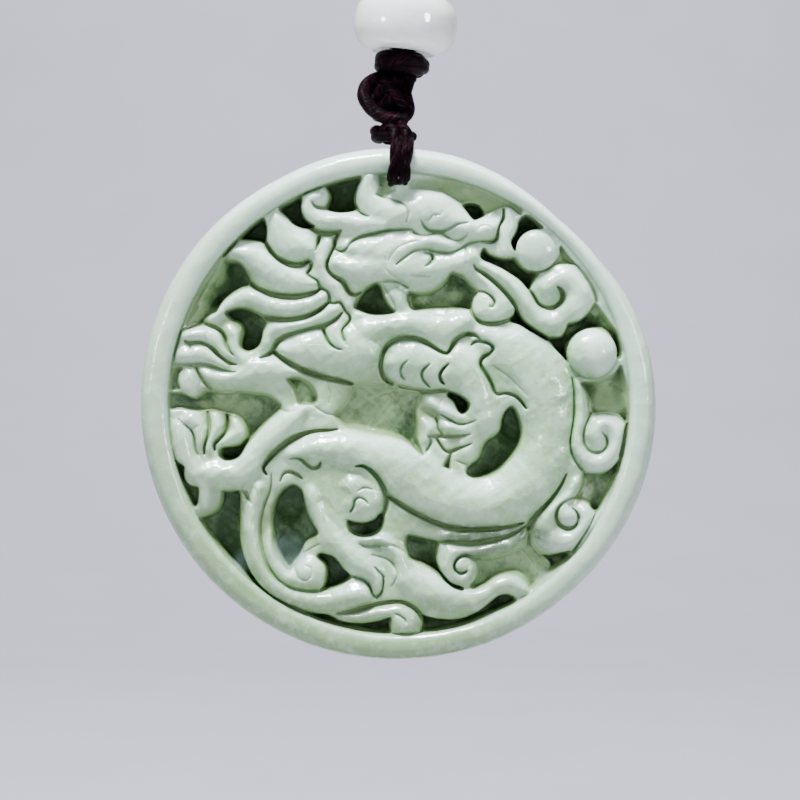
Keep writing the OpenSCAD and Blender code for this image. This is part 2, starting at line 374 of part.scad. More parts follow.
    [0.6, [[-61, -34, 0.6], [-59, -34.4, 0.7], [-58, -36.6, 0.6], [-56.8, -38.6, 0.3]]],
    // lower bend and leg
    [1.2, [[-51, -27.4, 0.3], [-52.4, -25, 0.5], [-50.4, -21.6, 1], [-47, -18, 1.1], [-43, -14.9, 1.1],
         [-39, -12.7, 1], [-35, -11.2, 0.8], [-31, -10.5, 0.7], [-27, -10.3, 0.6], [-23.6, -9.9, 0.2]]],
    [0.8, [[-42, -21.4, 0.4], [-40, -21.1, 0.6], [-38, -21.5, 0.7], [-36.2, -22.9, 0.7],
         [-34.6, -24.4, 0.7], [-32.8, -25, 0.7], [-31, -24.4, 0.7], [-30.2, -22.6, 0.3]]],
    [0.8, [[-45.8, -30, 0.2], [-45, -27.8, 0.4], [-43.4, -26.4, 0.6], [-41, -26.6, 0.7],
         [-38.8, -27.7, 0.6], [-37.2, -29.1, 0.2]]],
    [1, [[-16.8, -24.2, 0.3], [-14, -24, 0.7], [-11.4, -25.4, 0.9], [-8.8, -27.8, 1], [-6.8, -30.8, 1],
         [-5.5, -34, 1], [-5, -37.4, 1], [-5.4, -40.6, 0.9], [-6.4, -43, 0.8]]],
    [0.6, [[-15.8, -33.6, 0.2], [-14, -32.5, 0.4], [-12, -32.4, 0.4], [-10.2, -33.2, 0.2]]],
    [0.7, [[-11.8, -38.6, 0.2], [-13, -37, 0.4], [-15.2, -36.1, 0.5], [-17, -37.2, 0.6],
         [-17.4, -39.6, 0.7], [-18.6, -41.6, 0.5]]],
    [1.2, [[-4.8, -35.4, 0.6], [-2, -37.2, 0.9], [2, -39.8, 1], [6, -42.1, 1], [10, -44.2, 1],
         [14, -45.9, 1], [18, -47.3, 0.9], [23, -48.2, 0.8], [28, -48.5, 0.6], [34, -48.4, 0.6],
         [39, -48, 0.6], [44, -47.2, 0.5], [48, -46, 0.3]]],
    [0.6, [[-49.3, -27, 0.2], [-49.2, -30.6, 0.4], [-50, -34.4, 0.5], [-51.6, -38, 0.5],
         [-53, -43, 0.5], [-53.6, -49, 0.5], [-53, -55, 0.6], [-51.8, -59.6, 0.7], [-50, -63.6, 0.8],
         [-47.4, -67, 0.9], [-44.4, -69.4, 0.8], [-41, -71.1, 0.7], [-37, -72.1, 0.7], [-33, -72.4, 0.7],
         [-29.8, -72.2, 0.7]]],
    [0.8, [[-18.8, -66.6, 0.5], [-16, -67.2, 0.5], [-13.8, -68, 0.6], [-12, -69.5, 0.6],
         [-10.9, -71.5, 0.6], [-10.2, -73.6, 0.6], [-8.8, -74.6, 0.6], [-7.2, -73.4, 0.5],
         [-6.2, -71, 0.4], [-6, -68, 0.4], [-6.4, -66.2, 0.2]]],
    [0.8, [[-5.6, -66.8, 0.2], [-7.4, -65, 0.4], [-9.4, -62.8, 0.2]]],
    [0.5, [[-15.4, -54, 0.2], [-13, -55, 0.5], [-9.6, -55.1, 0.6], [-6, -54.6, 0.6], [-2.8, -54.5, 0.6],
         [0.4, -56, 0.5], [2.8, -57.6, 0.4]]],
    [0.5, [[-10.6, -58.3, 0.2], [-7.6, -58.9, 0.4], [-4.6, -59.9, 0.5], [-2.6, -61.4, 0.5],
         [-1.2, -63.8, 0.4], [-0.8, -66.4, 0.4], [-2, -69, 0.3], [-3, -70.6, 0.1]]],
    [0.9, [[-46.4, -76, 0.8], [-43, -78, 0.9], [-39.4, -79.6, 1], [-35.6, -81, 0.9]]],
    [1.1, [[-24, -81, 0.2], [-20, -80.5, 0.7], [-15.6, -79.5, 0.8], [-11.4, -78.3, 0.8], [-7, -77.1, 0.8],
         [-2.6, -76.5, 0.8], [1.6, -76.7, 0.8], [5, -78.3, 0.8], [7.6, -80.6, 0.8], [8.9, -83, 0.7]]],
    [0.5, [[-3, -89, 0.5], [1, -88.8, 0.5], [5, -88.8, 0.5], [8.6, -88.2, 0.5]]],
    [0.6, [[-1.6, -80.8, 0.2], [0.6, -81.6, 0.5], [2.4, -83, 0.5], [2.8, -84.4, 0.2]]],
    // fins and curls at the lower right
    [1, [[15, -53.3, 0.5], [19.6, -53.2, 0.5], [24.2, -53.7, 0.6], [29, -53.7, 0.7], [34, -53, 0.7],
         [38.6, -52.1, 0.6], [43, -50.6, 0.6], [46.6, -48.8, 0.4], [49.6, -46.6, 0.2]]],
    [0.9, [[31, -60.1, 0.5], [29, -59.8, 0.6], [27, -58.8, 0.6], [24.6, -58.6, 0.6], [22.4, -59.9, 0.6],
         [21.3, -62.2, 0.6], [21.8, -64.3, 0.6], [23.6, -65.3, 0.6], [25.4, -65, 0.5], [26.2, -64.2, 0.2]]],
    [1.1, [[64.4, -27, 0.2], [63, -30.3, 0.4], [61, -33.6, 0.5], [58.6, -36.8, 0.6], [56, -39.8, 0.8],
         [53.4, -42.5, 1], [51.4, -45.2, 1.2], [50.2, -48, 1.1]]],
    [0.8, [[66.6, -40.2, 0.2], [68.4, -41.8, 0.5], [69.2, -44, 0.7], [68.6, -46.4, 0.8],
         [66.6, -48, 0.8], [64, -48, 0.8], [61.8, -46.6, 0.8], [60.6, -44.4, 0.8], [60.6, -41.8, 0.8],
         [61.8, -39.4, 0.6], [64, -37.6, 0.4], [67, -36.4, 0.4], [69, -36.2, 0.5]]],
    [0.7, [[66.8, -57.4, 0.6], [68.6, -54.6, 0.5], [70.4, -51.6, 0.5], [72.6, -48, 0.4], [74.6, -44.6, 0.4],
         [76, -41.8, 0.4]]],
    // clouds at the right
    [0.8, [[66.6, 10, 0.2], [67.4, 5, 0.4], [67.5, 0, 0.5], [67.4, -5, 0.5], [66.6, -10, 0.5],
         [65.9, -14.4, 0.5], [66.2, -18, 0.5], [67.6, -21.6, 0.6], [69.6, -24.4, 0.6],
         [71.8, -26.8, 0.6]]],
    [0.7, [[74, -3.8, 0.6], [72.8, -6.4, 0.5], [71.5, -9.2, 0.5], [70.9, -12.4, 0.5], [71.4, -15.8, 0.5],
         [73.2, -18.2, 0.6], [76, -19, 0.7], [78.8, -18.2, 0.6], [80.3, -16, 0.6], [80, -13.4, 0.5],
         [78, -11, 0.2]]],
    [1, [[88.2, -7.6, 0.5], [87.3, -11, 0.8], [86.5, -15.4, 0.9], [85.5, -20, 0.9]]],
    // right claw
    [0.7, [[15.6, -3.9, 0.4], [18, -5.3, 0.5], [20.4, -6.8, 0.5], [23, -7.9, 0.5], [26, -7.8, 0.5],
         [29.6, -6.4, 0.2]]],
    [0.7, [[14.2, -5.4, 0.4], [14.9, -7.6, 0.5], [15.2, -10, 0.5], [16.8, -12, 0.4]]],
    [0.8, [[11.2, -12.6, 0.4], [14.6, -12.6, 0.7], [18, -12.8, 0.6], [22, -12.8, 0.6], [25, -12.3, 0.5],
         [27.4, -11.7, 0.2]]],
    [0.6, [[11.4, -12.8, 0.5], [12.2, -15, 0.7], [11, -17.4, 0.6], [10, -19.4, 0.3]]],
    [0.9, [[14.6, -13.6, 0.4], [16, -16, 0.6], [17.4, -17.9, 0.6], [19.4, -18.6, 0.7], [22.4, -17.6, 0.6],
         [25.6, -16.4, 0.5], [28, -15.4, 0.2]]],
    [0.5, [[21.8, -22, 0.2], [23.8, -22.7, 0.4], [26.6, -23.4, 0.3]]]
];

// Rounded forms: height as a share of the named rise, then points [across, up, half width]
forms = [
    // horns and head
    [1, [[-11.6, 88, 3], [-12.4, 84, 4], [-12.2, 80, 4.6], [-9, 76, 6], [-3.6, 73.4, 6], [1.6, 72.6, 3]]],
    [0.9, [[-30.6, 80, 2], [-34.6, 78, 3.2], [-34.4, 73.4, 3.6], [-29, 70.6, 3.6], [-22, 70.6, 3.6],
         [-14, 69.4, 3.6], [-6, 68.6, 2]]],
    [1, [[0, 73.6, 4], [7, 74, 7], [14, 73.6, 7.6], [21, 71.4, 6], [27, 67.6, 4.4], [33, 67.6, 4.4],
         [37.4, 68, 3]]],
    [0.7, [[41.6, 74, 1.6], [42.4, 69, 2.8], [41.4, 63, 2.8], [41, 58, 3]]],
    [0.8, [[-20, 60.6, 2], [-10, 58.6, 6], [0, 57.6, 7], [10, 62.4, 3], [20, 60.6, 2.4]]],
    [0.9, [[-24, 54, 2], [-15, 51, 6], [-4, 51.6, 6], [6, 51.6, 7], [14, 51.6, 6], [22, 53.6, 4],
         [28, 56, 4]]],
    // mane locks and neck
    [0.9, [[-47.6, 73, 1], [-45.6, 67, 4.4], [-42, 61.4, 6.4], [-36.6, 60, 4.6], [-33, 60, 2]]],
    [0.9, [[-65, 58.6, 1], [-58, 57, 4.4], [-50, 51.4, 5.4], [-43, 47.6, 5.4], [-36.4, 46.4, 4.4],
         [-32.4, 46, 2]]],
    [0.9, [[-73.4, 32.2, 1], [-69, 35.4, 2.6], [-64.6, 39, 3.6], [-58, 41, 3.8], [-50, 37.8, 4.2],
         [-42, 36.8, 4], [-34, 38.6, 3.8], [-29.4, 41, 2]]],
    [0.8, [[-51, 22, 1.6], [-50.4, 27, 2.4], [-46, 29.4, 2.4], [-40, 29.9, 2.4], [-33, 31.9, 2.6],
         [-27, 35, 2.8], [-24, 36.6, 1.6]]],
    [0.6, [[-27.6, 62, 2], [-29.6, 55, 3], [-28.6, 49, 2.6], [-24.6, 44, 3], [-22, 40, 2], [-19, 37, 1.4]]],
    [0.6, [[-25, 29.4, 2], [-24.8, 26, 2.4], [-23.4, 23, 1.6]]],
    [0.6, [[-15, 34, 1], [-3.6, 41.6, 2], [-0.4, 41.4, 2.6], [0, 37.6, 2.4]]],
    // body from the neck round to the leg
    [1, [[-45, 20.4, 2], [-38, 20.4, 6], [-30, 20.4, 8.4], [-20, 20.4, 10], [-11, 19.6, 5]]],
    [0.9, [[-12, 28.6, 5], [-4, 30, 4.4], [6, 30.4, 4.6], [16, 28.4, 6], [25, 31.6, 4.4]]],
    [1, [[32, 26.4, 3.6], [40, 22, 8], [48, 16.4, 10], [54.4, 8, 11], [57.4, -2, 10.4], [57.6, -12, 9.6],
         [55.4, -22, 10], [49, -31, 11], [40, -37.4, 10], [29, -39, 9.6], [18, -36.6, 10],
         [8, -30, 11], [-2, -23.6, 11], [-12, -19.4, 8], [-22, -17, 6], [-32, -17, 4.4],
         [-41, -19.6, 3]]],
    [1, [[-4, 15.4, 2], [2, 16.4, 7], [9, 14.6, 9], [16, 12, 7], [24, 14.4, 9], [28, 8, 7],
         [31, 0, 7], [34, -8, 5]]],
    [0.6, [[27, -7, 3], [27, -14, 4], [27, -19, 3.6]]],
    [0.7, [[8.4, -6.6, 1], [11.4, -9.4, 2.6], [10, -14, 1.6]]],
    [0.8, [[16.4, -8, 1.4], [20, -9.4, 2.4], [25, -10, 2]]],
    [0.8, [[12, 0.6, 2], [17, -2.6, 2.4], [23, -5.6, 1.8]]],
    // upper left claw and forearm
    [0.7, [[-65.4, 29, 1.4], [-63.4, 26, 2.2], [-63.6, 21, 2], [-60, 17, 2.4]]],
    [0.8, [[-82, 26, 1.8], [-77, 26.8, 2.8], [-72, 25.6, 3.4], [-69, 22, 2.6], [-66, 18.4, 1.6]]],
    [0.8, [[-83.4, 18.4, 2.4], [-77.6, 19.4, 3.6], [-72.6, 17.6, 2.8], [-67, 14.4, 1.4]]],
    [0.8, [[-76.4, 12.6, 1.2], [-71.6, 10, 3], [-63, 9.6, 3.6], [-55, 12.6, 5], [-47, 13, 4.6],
         [-40, 12.4, 2]]],
    [0.8, [[-80.4, 11.4, 2.4], [-80.6, 7, 3.6], [-79.4, 4, 1.6]]],
    // lower left leg and claw
    [1, [[-36, -1.4, 1.6], [-41, -6, 3.6], [-47, -10.6, 5], [-54, -18, 5.6], [-61, -26.4, 6],
         [-70, -27.4, 5.6], [-78, -27, 4]]],
    [0.9, [[-84.6, -8, 2.4], [-83.4, -14, 4], [-82, -20, 4], [-78.6, -26, 4.4], [-75, -33, 4.4],
         [-74.4, -40, 2.6]]],
    [0.7, [[-80, -5.6, 3], [-77, -9, 2.6], [-76.6, -14, 1.8], [-76.4, -18, 1]]],
    [0.8, [[-70.8, -4.6, 2.4], [-69.8, -9, 3], [-72, -13.4, 1.8], [-73.2, -17.6, 1.4]]],
    [0.8, [[-63, -6.6, 2], [-62, -11, 3], [-65.6, -13.6, 2.4], [-69.4, -15.6, 1]]],
    // tail and hind foot
    [0.9, [[-54, -32, 2.4], [-56.6, -42, 3], [-57, -51, 3], [-54.6, -60, 3], [-50.6, -67, 3],
         [-43.6, -73, 3.6], [-34, -76, 3.6], [-24, -75.6, 4.6], [-15, -73.6, 4.6], [-12, -74, 2]]],
    [0.8, [[-49.6, -49, 1], [-49.8, -56, 1.6], [-47.4, -62.6, 2], [-43, -67, 2.6], [-37, -68, 3.4],
         [-33.4, -65.6, 4.6], [-34, -62.6, 4]]],
    [0.8, [[-34, -34, 2.6], [-31.6, -42, 3.6], [-28, -50, 4.4], [-22, -55.6, 4.4], [-15, -61, 5],
         [-8.6, -66, 3], [-8.2, -71, 1.6]]],
    [0.8, [[-18, -31, 4], [-13, -35.4, 7], [-13, -39, 6.6]]],
    [0.9, [[-14, -52.4, 1.4], [-6, -52.4, 2], [1.4, -60, 3], [3, -67, 5.4], [12, -72, 6.4], [22, -76, 5.6],
         [31, -74.6, 4], [38, -70, 3.4], [44, -69, 3.4], [48, -71.6, 1.8]]],
    [0.7, [[-23, -81.9, 0.8], [-15, -82, 1.8], [-7, -80.4, 2.4], [0, -80.6, 3], [3.6, -83.6, 4.4]]],
    // fins, curls and clouds
    [0.7, [[16, -50.4, 1.4], [26, -50.9, 1.8], [36, -50.5, 1.8], [45, -48.6, 1]]],
    [0.8, [[47.6, -51.4, 1], [40, -55, 2], [30, -57, 2], [20.6, -57.6, 3], [18.2, -62.6, 3],
         [21, -67.4, 2.6], [26.4, -66.8, 2.4], [28, -62.6, 1.8]]],
    [0.9, [[69, 8, 1.6], [70.2, 0, 2], [69.4, -8, 2.4], [68.6, -16, 2.6], [72.4, -22.6, 3.6],
         [79, -22.6, 3.6], [83.4, -17, 2.6], [83.4, -10, 3], [78, -7, 2.6], [75.6, -12, 3.6]]],
    [0.9, [[68.4, -30, 1.8], [65.6, -35.4, 1.8], [59.4, -41, 2.6], [56, -47.4, 4], [59.6, -52.6, 4.4],
         [66.4, -52, 3.6], [71.4, -46, 3], [71.4, -41, 2.4]]],
    [0.8, [[61.4, -43.6, 0.8], [64.8, -43.2, 3.6], [66, -43, 2]]],
    [0.9, [[31.6, 53.4, 1.2], [38, 50, 2], [44.4, 45, 2.6], [48.4, 39, 3], [53, 33.4, 3.6],
         [59, 30.6, 4], [66, 35, 4.6], [69.4, 42, 5], [64, 48.4, 4], [57, 45, 4]]],
    [0.9, [[29.4, 51, 0.8], [34, 46.4, 2], [39, 41, 2.6], [40.6, 36.4, 3], [36.6, 34, 2.8],
         [32, 37, 3]]]
];

// Section of a form: shares of its half width and of its height
form_section = [[-1, -0.3], [-0.46, 1], [0.46, 1], [1, -0.3]];
// Steps of a pearl: shares of its radius and of its rise
pearl_steps = [[1, -0.5], [0.86, 0.55], [0.6, 0.87], [0.2, 1]];
pearl_root = 0.4;
// Pearls: middle [across, up], radius, height as a share of the named rise
pearls = [[53.1, 59, 8.1, 0.6], [74.3, 19.3, 9.7, 1.1]];

// Knots: spheres as [across, depth, up, radius], shares of the knot's width and height
rim_knot_balls = [
    [-0.34, -0.06, 0.36, 0.22], [-0.31, 0.1, 0.66, 0.22], [0.2, -0.42, 0.22, 0.2],
    [0.2, 0.42, 0.22, 0.2], [0.1, -0.1, 0.72, 0.24], [0.38, -0.04, 0.24, 0.16],
    [-0.06, -0.36, 0.36, 0.2], [-0.06, 0.36, 0.36, 0.2], [-0.1, -0.22, 0.64, 0.24],
    [-0.12, 0.2, 0.66, 0.24]];
loop_knot_balls = [
    [-0.13, 0, 0.84, 0.15], [-0.25, 0.03, 0.76, 0.15], [-0.34, 0, 0.64, 0.15], [-0.37, -0.02, 0.52, 0.13],
    [-0.33, 0, 0.36, 0.14], [-0.24, 0.02, 0.2, 0.15], [-0.08, -0.12, 0.15, 0.14], [0.08, 0.12, 0.15, 0.14],
    [0.24, -0.06, 0.16, 0.15], [0.33, -0.06, 0.32, 0.16], [0.32, 0.08, 0.52, 0.16],
    [0.34, 0, 0.78, 0.16], [0.1, -0.13, 0.8, 0.16], [0.06, 0.13, 0.8, 0.16],
    [-0.1, -0.15, 0.5, 0.15], [0.16, 0.16, 0.5, 0.14]];

// Route of a strand round the rim, as shares: depth of its reach from the middle plane, height
// between the hole's middle and the knot's foot. It runs from the front to the back.
strand_route = [
    [-0.84, 0.94], [-0.93, 0.865], [-0.99, 0.765], [-1, 0.6], [-1, 0.36], [-0.945, 0.18],
    [-0.78, 0.09], [-0.42, 0.05], [0, 0.04], [0.42, 0.05], [0.78, 0.09], [0.945, 0.18],
    [1, 0.36], [1, 0.6], [0.99, 0.765], [0.93, 0.865], [0.84, 0.94]];
// Route of the hanging loop: shares of its inside width and height, with the foot at 0 and the top at 1
loop_route = [
    [0, 0], [-0.03, 0.06], [-0.17, 0.16], [-0.33, 0.3], [-0.43, 0.46], [-0.5, 0.62], [-0.5, 0.76],
    [-0.42, 0.88], [-0.24, 0.97], [0, 1], [0.24, 0.97], [0.42, 0.88], [0.5, 0.76], [0.5, 0.62],
    [0.43, 0.46], [0.33, 0.3], [0.17, 0.16], [0.03, 0.06], [0, 0]];
cord_sides = 8;
// Radius of a wrapped knot's rounded edge, as a share of its height
wrap_soft = 0.34;
// Points closer than this to a straight run are left out, in the tables' hundredths
line_slack = 0.42;
form_slack = 1.4;

function share_at(table, a, i = 1) = a <= table[i][0]
    ? table[i - 1][1] + (table[i][1] - table[i - 1][1]) * (a - table[i - 1][0]) / (table[i][0] - table[i - 1][0])
    : share_at(table, a, i + 1);

// Smooth curve through the points, with one more point in the middle of each span
function between(a, b, c, d) = (9 * (b + c) - a - d) / 16;
function smoothed(p) = [for (i = [0:len(p) - 1]) each i < len(p) - 1
    ? [p[i], between(p[max(i - 1, 0)], p[i], p[i + 1], p[min(i + 2, len(p) - 1)])]
    : [p[i]]];

function flat2(p) = [p[0], p[1]];
// The same row without the points that lie within the slack of a straight run
function off_run(a, b, c) = abs(cross(flat2(b) - flat2(a), unit2(flat2(c) - flat2(a))));
function eased(p, slack, i = 1, kept = []) = i == 1 && kept == [] ? eased(p, slack, 1, [p[0]])
    : i >= len(p) - 1 ? concat(kept, [p[len(p) - 1]])
    : eased(p, slack, i + 1,
        off_run(kept[len(kept) - 1], p[i], p[i + 1]) < slack ? kept : concat(kept, [p[i]]));
function unit2(v) = v / max(norm(v), 0.0001);
function side2(v) = [-v[1], v[0]];
// Direction along an open row of points, and round a closed one
function along(p, i) = unit2(flat2(p[min(i + 1, len(p) - 1)]) - flat2(p[max(i - 1, 0)]));
function around(p, i) = unit2(p[(i + 1) % len(p)] - p[(i + len(p) - 1) % len(p)]);

// Faces of a closed skin over rings of equal counts
function skin(rings, sides) = concat(
    [[for (j = [sides - 1:-1:0]) j]],
    [for (i = [0:rings - 2]) for (j = [0:sides - 1]) each [
        [i * sides + j, i * sides + (j + 1) % sides, (i + 1) * sides + j],
        [i * sides + (j + 1) % sides, (i + 1) * sides + (j + 1) % sides, (i + 1) * sides + j]]],
    [[for (j = [0:sides - 1]) (rings - 1) * sides + j]]);

// Plain blank of the disc: the flat of the carving, the domed rim and the flat back
module disc_blank() {
    rings = [for (s = rim_section) [for (k = [0:rim_steps - 1])
        let (a = 360 * k / rim_steps, edge = disc_r * share_at(outline_share, a),
             r = field_r + (edge - field_r) * s[0])
        [r * cos(a), s[1] * half_t, r * sin(a)]]];
    floor_ring = [for (k = [0:rim_steps - 1])
        let (a = 360 * k / rim_steps) [field_r * cos(a), flat_y, field_r * sin(a)]];
    all_rings = concat([floor_ring], rings);
    polyhedron([for (ring = all_rings) each ring], skin(len(all_rings), rim_steps), convexity = 8);
}

// Cutter for a pocket: straight walls from the floor, then a worn edge that opens outwards
module pocket_cutter(depth, outline) {
    p = eased(outline, line_slack) * unit;
    area = [for (i = [0:len(p) - 1]) cross(p[i], p[(i + 1) % len(p)])] * [for (q = p) 1];
    ordered = area < 0 ? p : [for (i = [len(p) - 1:-1:0]) p[i]];
    low = -half_t + pocket_depth * depth;
    open_out = edge_w / 2;
    lip = [[open_out, low], [-open_out * (1 + over / (low - flat_y)), flat_y - over]];
    rings = [for (s = lip) [for (i = [0:len(ordered) - 1])
        let (q = ordered[i] - side2(around(ordered, i)) * s[0]) [q[0], s[1], q[1]]]];
    polyhedron([for (ring = rings) each ring], skin(len(rings), len(ordered)), convexity = 8);
}

// Each stretch between two sections is filled on its own, so a tight bend stays sound
module hulled(rings) {
    for (i = [0:len(rings) - 2]) hull()
        polyhedron(concat(rings[i], rings[i + 1]), skin(2, len(rings[i])), convexity = 4);
}

// Cutter for a carved line: a tapered groove with worn edges
module line_cutter(depth, row) {
    p = eased(row, line_slack);
    rings = [for (i = [0:len(p) - 1])
        let (c = flat2(p[i]) * unit, w = p[i][2] * unit, n = side2(along(p, i)),
             end = i == 0 || i == len(p) - 1 ? end_share : 1,
             low = flat_y + line_depth * depth * min(1, line_least + line_gain * p[i][2]) * end,
             wide = w + edge_w)
        [for (s = [[-wide, flat_y], [-wide - edge_w, flat_y - over], [wide + edge_w, flat_y - over],
                   [wide, flat_y], [0, low]])
            [c[0] + n[0] * s[0], s[1], c[1] + n[1] * s[0]]]];
    hulled(rings);
}

// A rounded form: half round sections whose width and height taper together
module form_ridge(rise, row) {
    p = eased(row, form_slack);
    widest = max([for (q = p) q[2]]);
    rings = [for (i = [0:len(p) - 1])
        let (c = flat2(p[i]) * unit, w = p[i][2] * unit, n = side2(along(p, i)),
             top = form_rise * rise * min(1, form_least + form_gain * p[i][2] / widest)
                 * (i == 0 || i == len(p) - 1 ? end_share : 1))
        [for (s = form_section)
            [c[0] + n[0] * s[0] * w, flat_y - top * s[1], c[1] + n[1] * s[0] * w]]];
    hulled(rings);
}

// A pearl stands on the stone below the flat of the carving, in four steps hulled together
module pearl(row) {
    r = row[2] * unit;
    rise = form_rise * row[3];
    translate([row[0] * unit, flat_y + pearl_root, row[1] * unit]) rotate([90, 0, 0]) hull()
        for (s = pearl_steps) cylinder(r = r * s[0], h = pearl_root + rise * s[1], $fn = 28);
}

// Worn hole for the cord, with a countersink at both faces
module cord_hole() {
    translate([-hole_left, 0, hole_z]) rotate([90, 0, 0]) {
        cylinder(d = hole_d, h = disc_t * 2, center = true, $fn = 32);
        for (m = [0, 1]) mirror([0, 0, m]) translate([0, 0, half_t - relief_drop - sink_w])
            cylinder(d1 = hole_d, d2 = hole_d + 4 * sink_w, h = 2 * (relief_drop + sink_w), $fn = 32);
    }
}

module carved_disc() {
    color(stone) translate([0, 0, -hang_z]) difference() {
        union() {
            disc_blank();
            intersection() {
                for (f = forms) form_ridge(f[0], f[1]);
                rotate([90, 0, 0]) cylinder(r = field_r + form_reach, h = disc_t, $fn = 72);
            }
            for (p = pearls) pearl(p);
        }
        for (p = pockets) pocket_cutter(p[0], p[1]);
        for (l = lines) line_cutter(l[0], l[1]);
        cord_hole();
    }
}

// A tube swept along points, with flat ends square to the first and last stretch
function cross_frame(p, i, up) = let (t = (p[min(i + 1, len(p) - 1)] - p[max(i - 1, 0)]),
    a = cross(t, up), b = cross(a, t)) [a / norm(a), b / norm(b)];
module tube(p, d, up) {
    rings = [for (i = [0:len(p) - 1]) let (f = cross_frame(p, i, up))
        [for (k = [0:cord_sides - 1]) let (a = 360 * (k + 0.5) / cord_sides)
            p[i] + d / 2 * (f[0] * cos(a) + f[1] * sin(a))]];
    polyhedron([for (ring = rings) each ring], skin(len(rings), cord_sides), convexity = 6);
}

// One strand of the doubled cord, from the rim knot through the hole and back
module rim_strand(side) {
    height = rim_top - hole_z;
    reach = half_t + cord_gap + cord_r;
    route = [for (q = strand_route)
        [side * strand_x - hole_left + strand_lean * q[1], q[0] * reach, hole_z + q[1] * height]];
    color(satin) translate([0, 0, -hang_z]) tube(smoothed(route), cord_d, [1, 0, 0]);
}
module rim_strand_left() { rim_strand(-1); }
module rim_strand_right() { rim_strand(1); }

module knot_hull(balls, w, h) {
    hull() for (b = balls)
        translate([b[0] * w, b[1] * w, b[2] * h]) sphere(r = b[3] * w, $fn = 14);
}

module rim_knot() {
    color(satin) translate([-knot_left, 0, rim_top - hang_z]) intersection() {
        knot_hull(rim_knot_balls, rim_knot_w, rim_knot_h);
        translate([-rim_knot_w, -rim_knot_w, piece_gap])
            cube([2 * rim_knot_w, 2 * rim_knot_w, rim_knot_h - piece_gap]);
    }
}

module loop_knot() {
    color(satin) translate([loop_knot_x, 0, loop_knot_z - hang_z]) intersection() {
        knot_hull(loop_knot_balls, loop_knot_w, loop_knot_h);
        translate([-loop_knot_w, -loop_knot_w, 0]) cube([2 * loop_knot_w, 2 * loop_knot_w, loop_knot_h]);
        translate([-loop_knot_x, 0, hang_z - loop_knot_z]) under_bead_knot();
    }
}

// The knots round the bead and the bead itself share one leaning axis
module on_bead_axis(z) {
    translate([bead_x, 0, bead_z - hang_z]) rotate([0, bead_lean, 0]) translate([0, 0, z]) children();
}

module under_bead_knot() {
    reach = 3 * loop_knot_w;
    on_bead_axis(-bead_h / 2 - wrap_h - 2 * piece_gap - reach)
        translate([-reach / 2, -reach / 2, 0]) cube([reach, reach, reach]);
}

module wrap() {
    soft = wrap_h * wrap_soft;
    rotate_extrude($fn = 40) union() {
        square([wrap_d / 2 - soft, wrap_h]);
        translate([wrap_d / 2 - soft, soft]) circle(r = soft, $fn = 24);
        translate([wrap_d / 2 - soft, wrap_h - soft]) circle(r = soft, $fn = 24);
        translate([0, soft]) square([wrap_d / 2, wrap_h - 2 * soft]);
    }
}

module bead_knot() { color(satin) on_bead_axis(-bead_h / 2 - piece_gap - wrap_h) wrap(); }
module top_knot() { color(satin) on_bead_axis(bead_h / 2 + piece_gap) wrap(); }

// Side of the bead: share of half the height, share of the way from the flat end to the widest
bead_side = [[-1, 0], [-0.93, 0.34], [-0.78, 0.64], [-0.55, 0.86], [-0.28, 0.97], [0, 1],
             [0.28, 0.97], [0.55, 0.86], [0.78, 0.64], [0.93, 0.34], [1, 0]];
module bead() {
    flat_r = bead_flat / 2;
    color(agate) on_bead_axis(0) rotate_extrude($fn = 64)
        polygon(concat([[bead_bore / 2, -bead_h / 2]],
            [for (s = bead_side) [flat_r + (bead_d / 2 - flat_r) * s[1], bead_h / 2 * s[0]]],
            [[bead_bore / 2, bead_h / 2]]));
}

module bead_core() {
    color(satin) on_bead_axis(-bead_h / 2)
        cylinder(d = bead_bore - 2 * piece_gap, h = bead_h, $fn = 32);
}

module hanging_loop() {
    lean = bead_x + sin(bead_lean) * (bead_h / 2 + wrap_h);
    last = len(loop_route) - 1;
    route = [for (i = [0:last])
        let (q = loop_route[i], side = sign(2 * i - last), low = (1 - q[1]) * (1 - q[1]))
        [q[0] * (loop_w + cord_d) + (lean + side * leg_spread) * low, 0,
         loop_foot + q[1] * (loop_h + cord_r)]];
    color(satin) translate([0, 0, -hang_z]) tube(smoothed(route), cord_d, [0, 1, 0]);
}

carved_disc();
rim_strand_left();
rim_strand_right();
rim_knot();
loop_knot();
bead_knot();
bead();
bead_core();
top_knot();
hanging_loop();
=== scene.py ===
# Round carved jade pendant on a knotted satin cord, with a milky stone bead
import json
import math

import bpy
import numpy as np
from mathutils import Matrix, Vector

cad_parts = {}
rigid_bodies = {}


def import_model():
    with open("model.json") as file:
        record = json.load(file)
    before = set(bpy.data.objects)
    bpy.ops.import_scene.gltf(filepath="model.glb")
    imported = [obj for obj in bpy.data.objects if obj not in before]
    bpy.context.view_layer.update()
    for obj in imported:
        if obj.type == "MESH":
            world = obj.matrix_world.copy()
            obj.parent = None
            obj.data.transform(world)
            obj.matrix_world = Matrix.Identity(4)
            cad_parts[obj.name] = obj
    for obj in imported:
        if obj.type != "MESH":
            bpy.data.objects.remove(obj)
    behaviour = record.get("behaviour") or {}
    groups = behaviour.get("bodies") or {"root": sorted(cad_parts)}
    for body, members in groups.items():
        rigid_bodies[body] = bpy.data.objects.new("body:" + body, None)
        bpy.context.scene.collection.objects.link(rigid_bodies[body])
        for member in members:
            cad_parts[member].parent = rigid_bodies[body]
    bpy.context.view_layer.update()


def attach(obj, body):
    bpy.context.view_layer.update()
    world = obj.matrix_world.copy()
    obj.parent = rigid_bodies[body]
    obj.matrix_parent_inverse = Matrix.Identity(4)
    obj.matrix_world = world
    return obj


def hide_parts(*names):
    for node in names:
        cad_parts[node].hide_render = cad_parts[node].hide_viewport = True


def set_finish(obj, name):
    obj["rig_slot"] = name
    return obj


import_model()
mm = 0.001

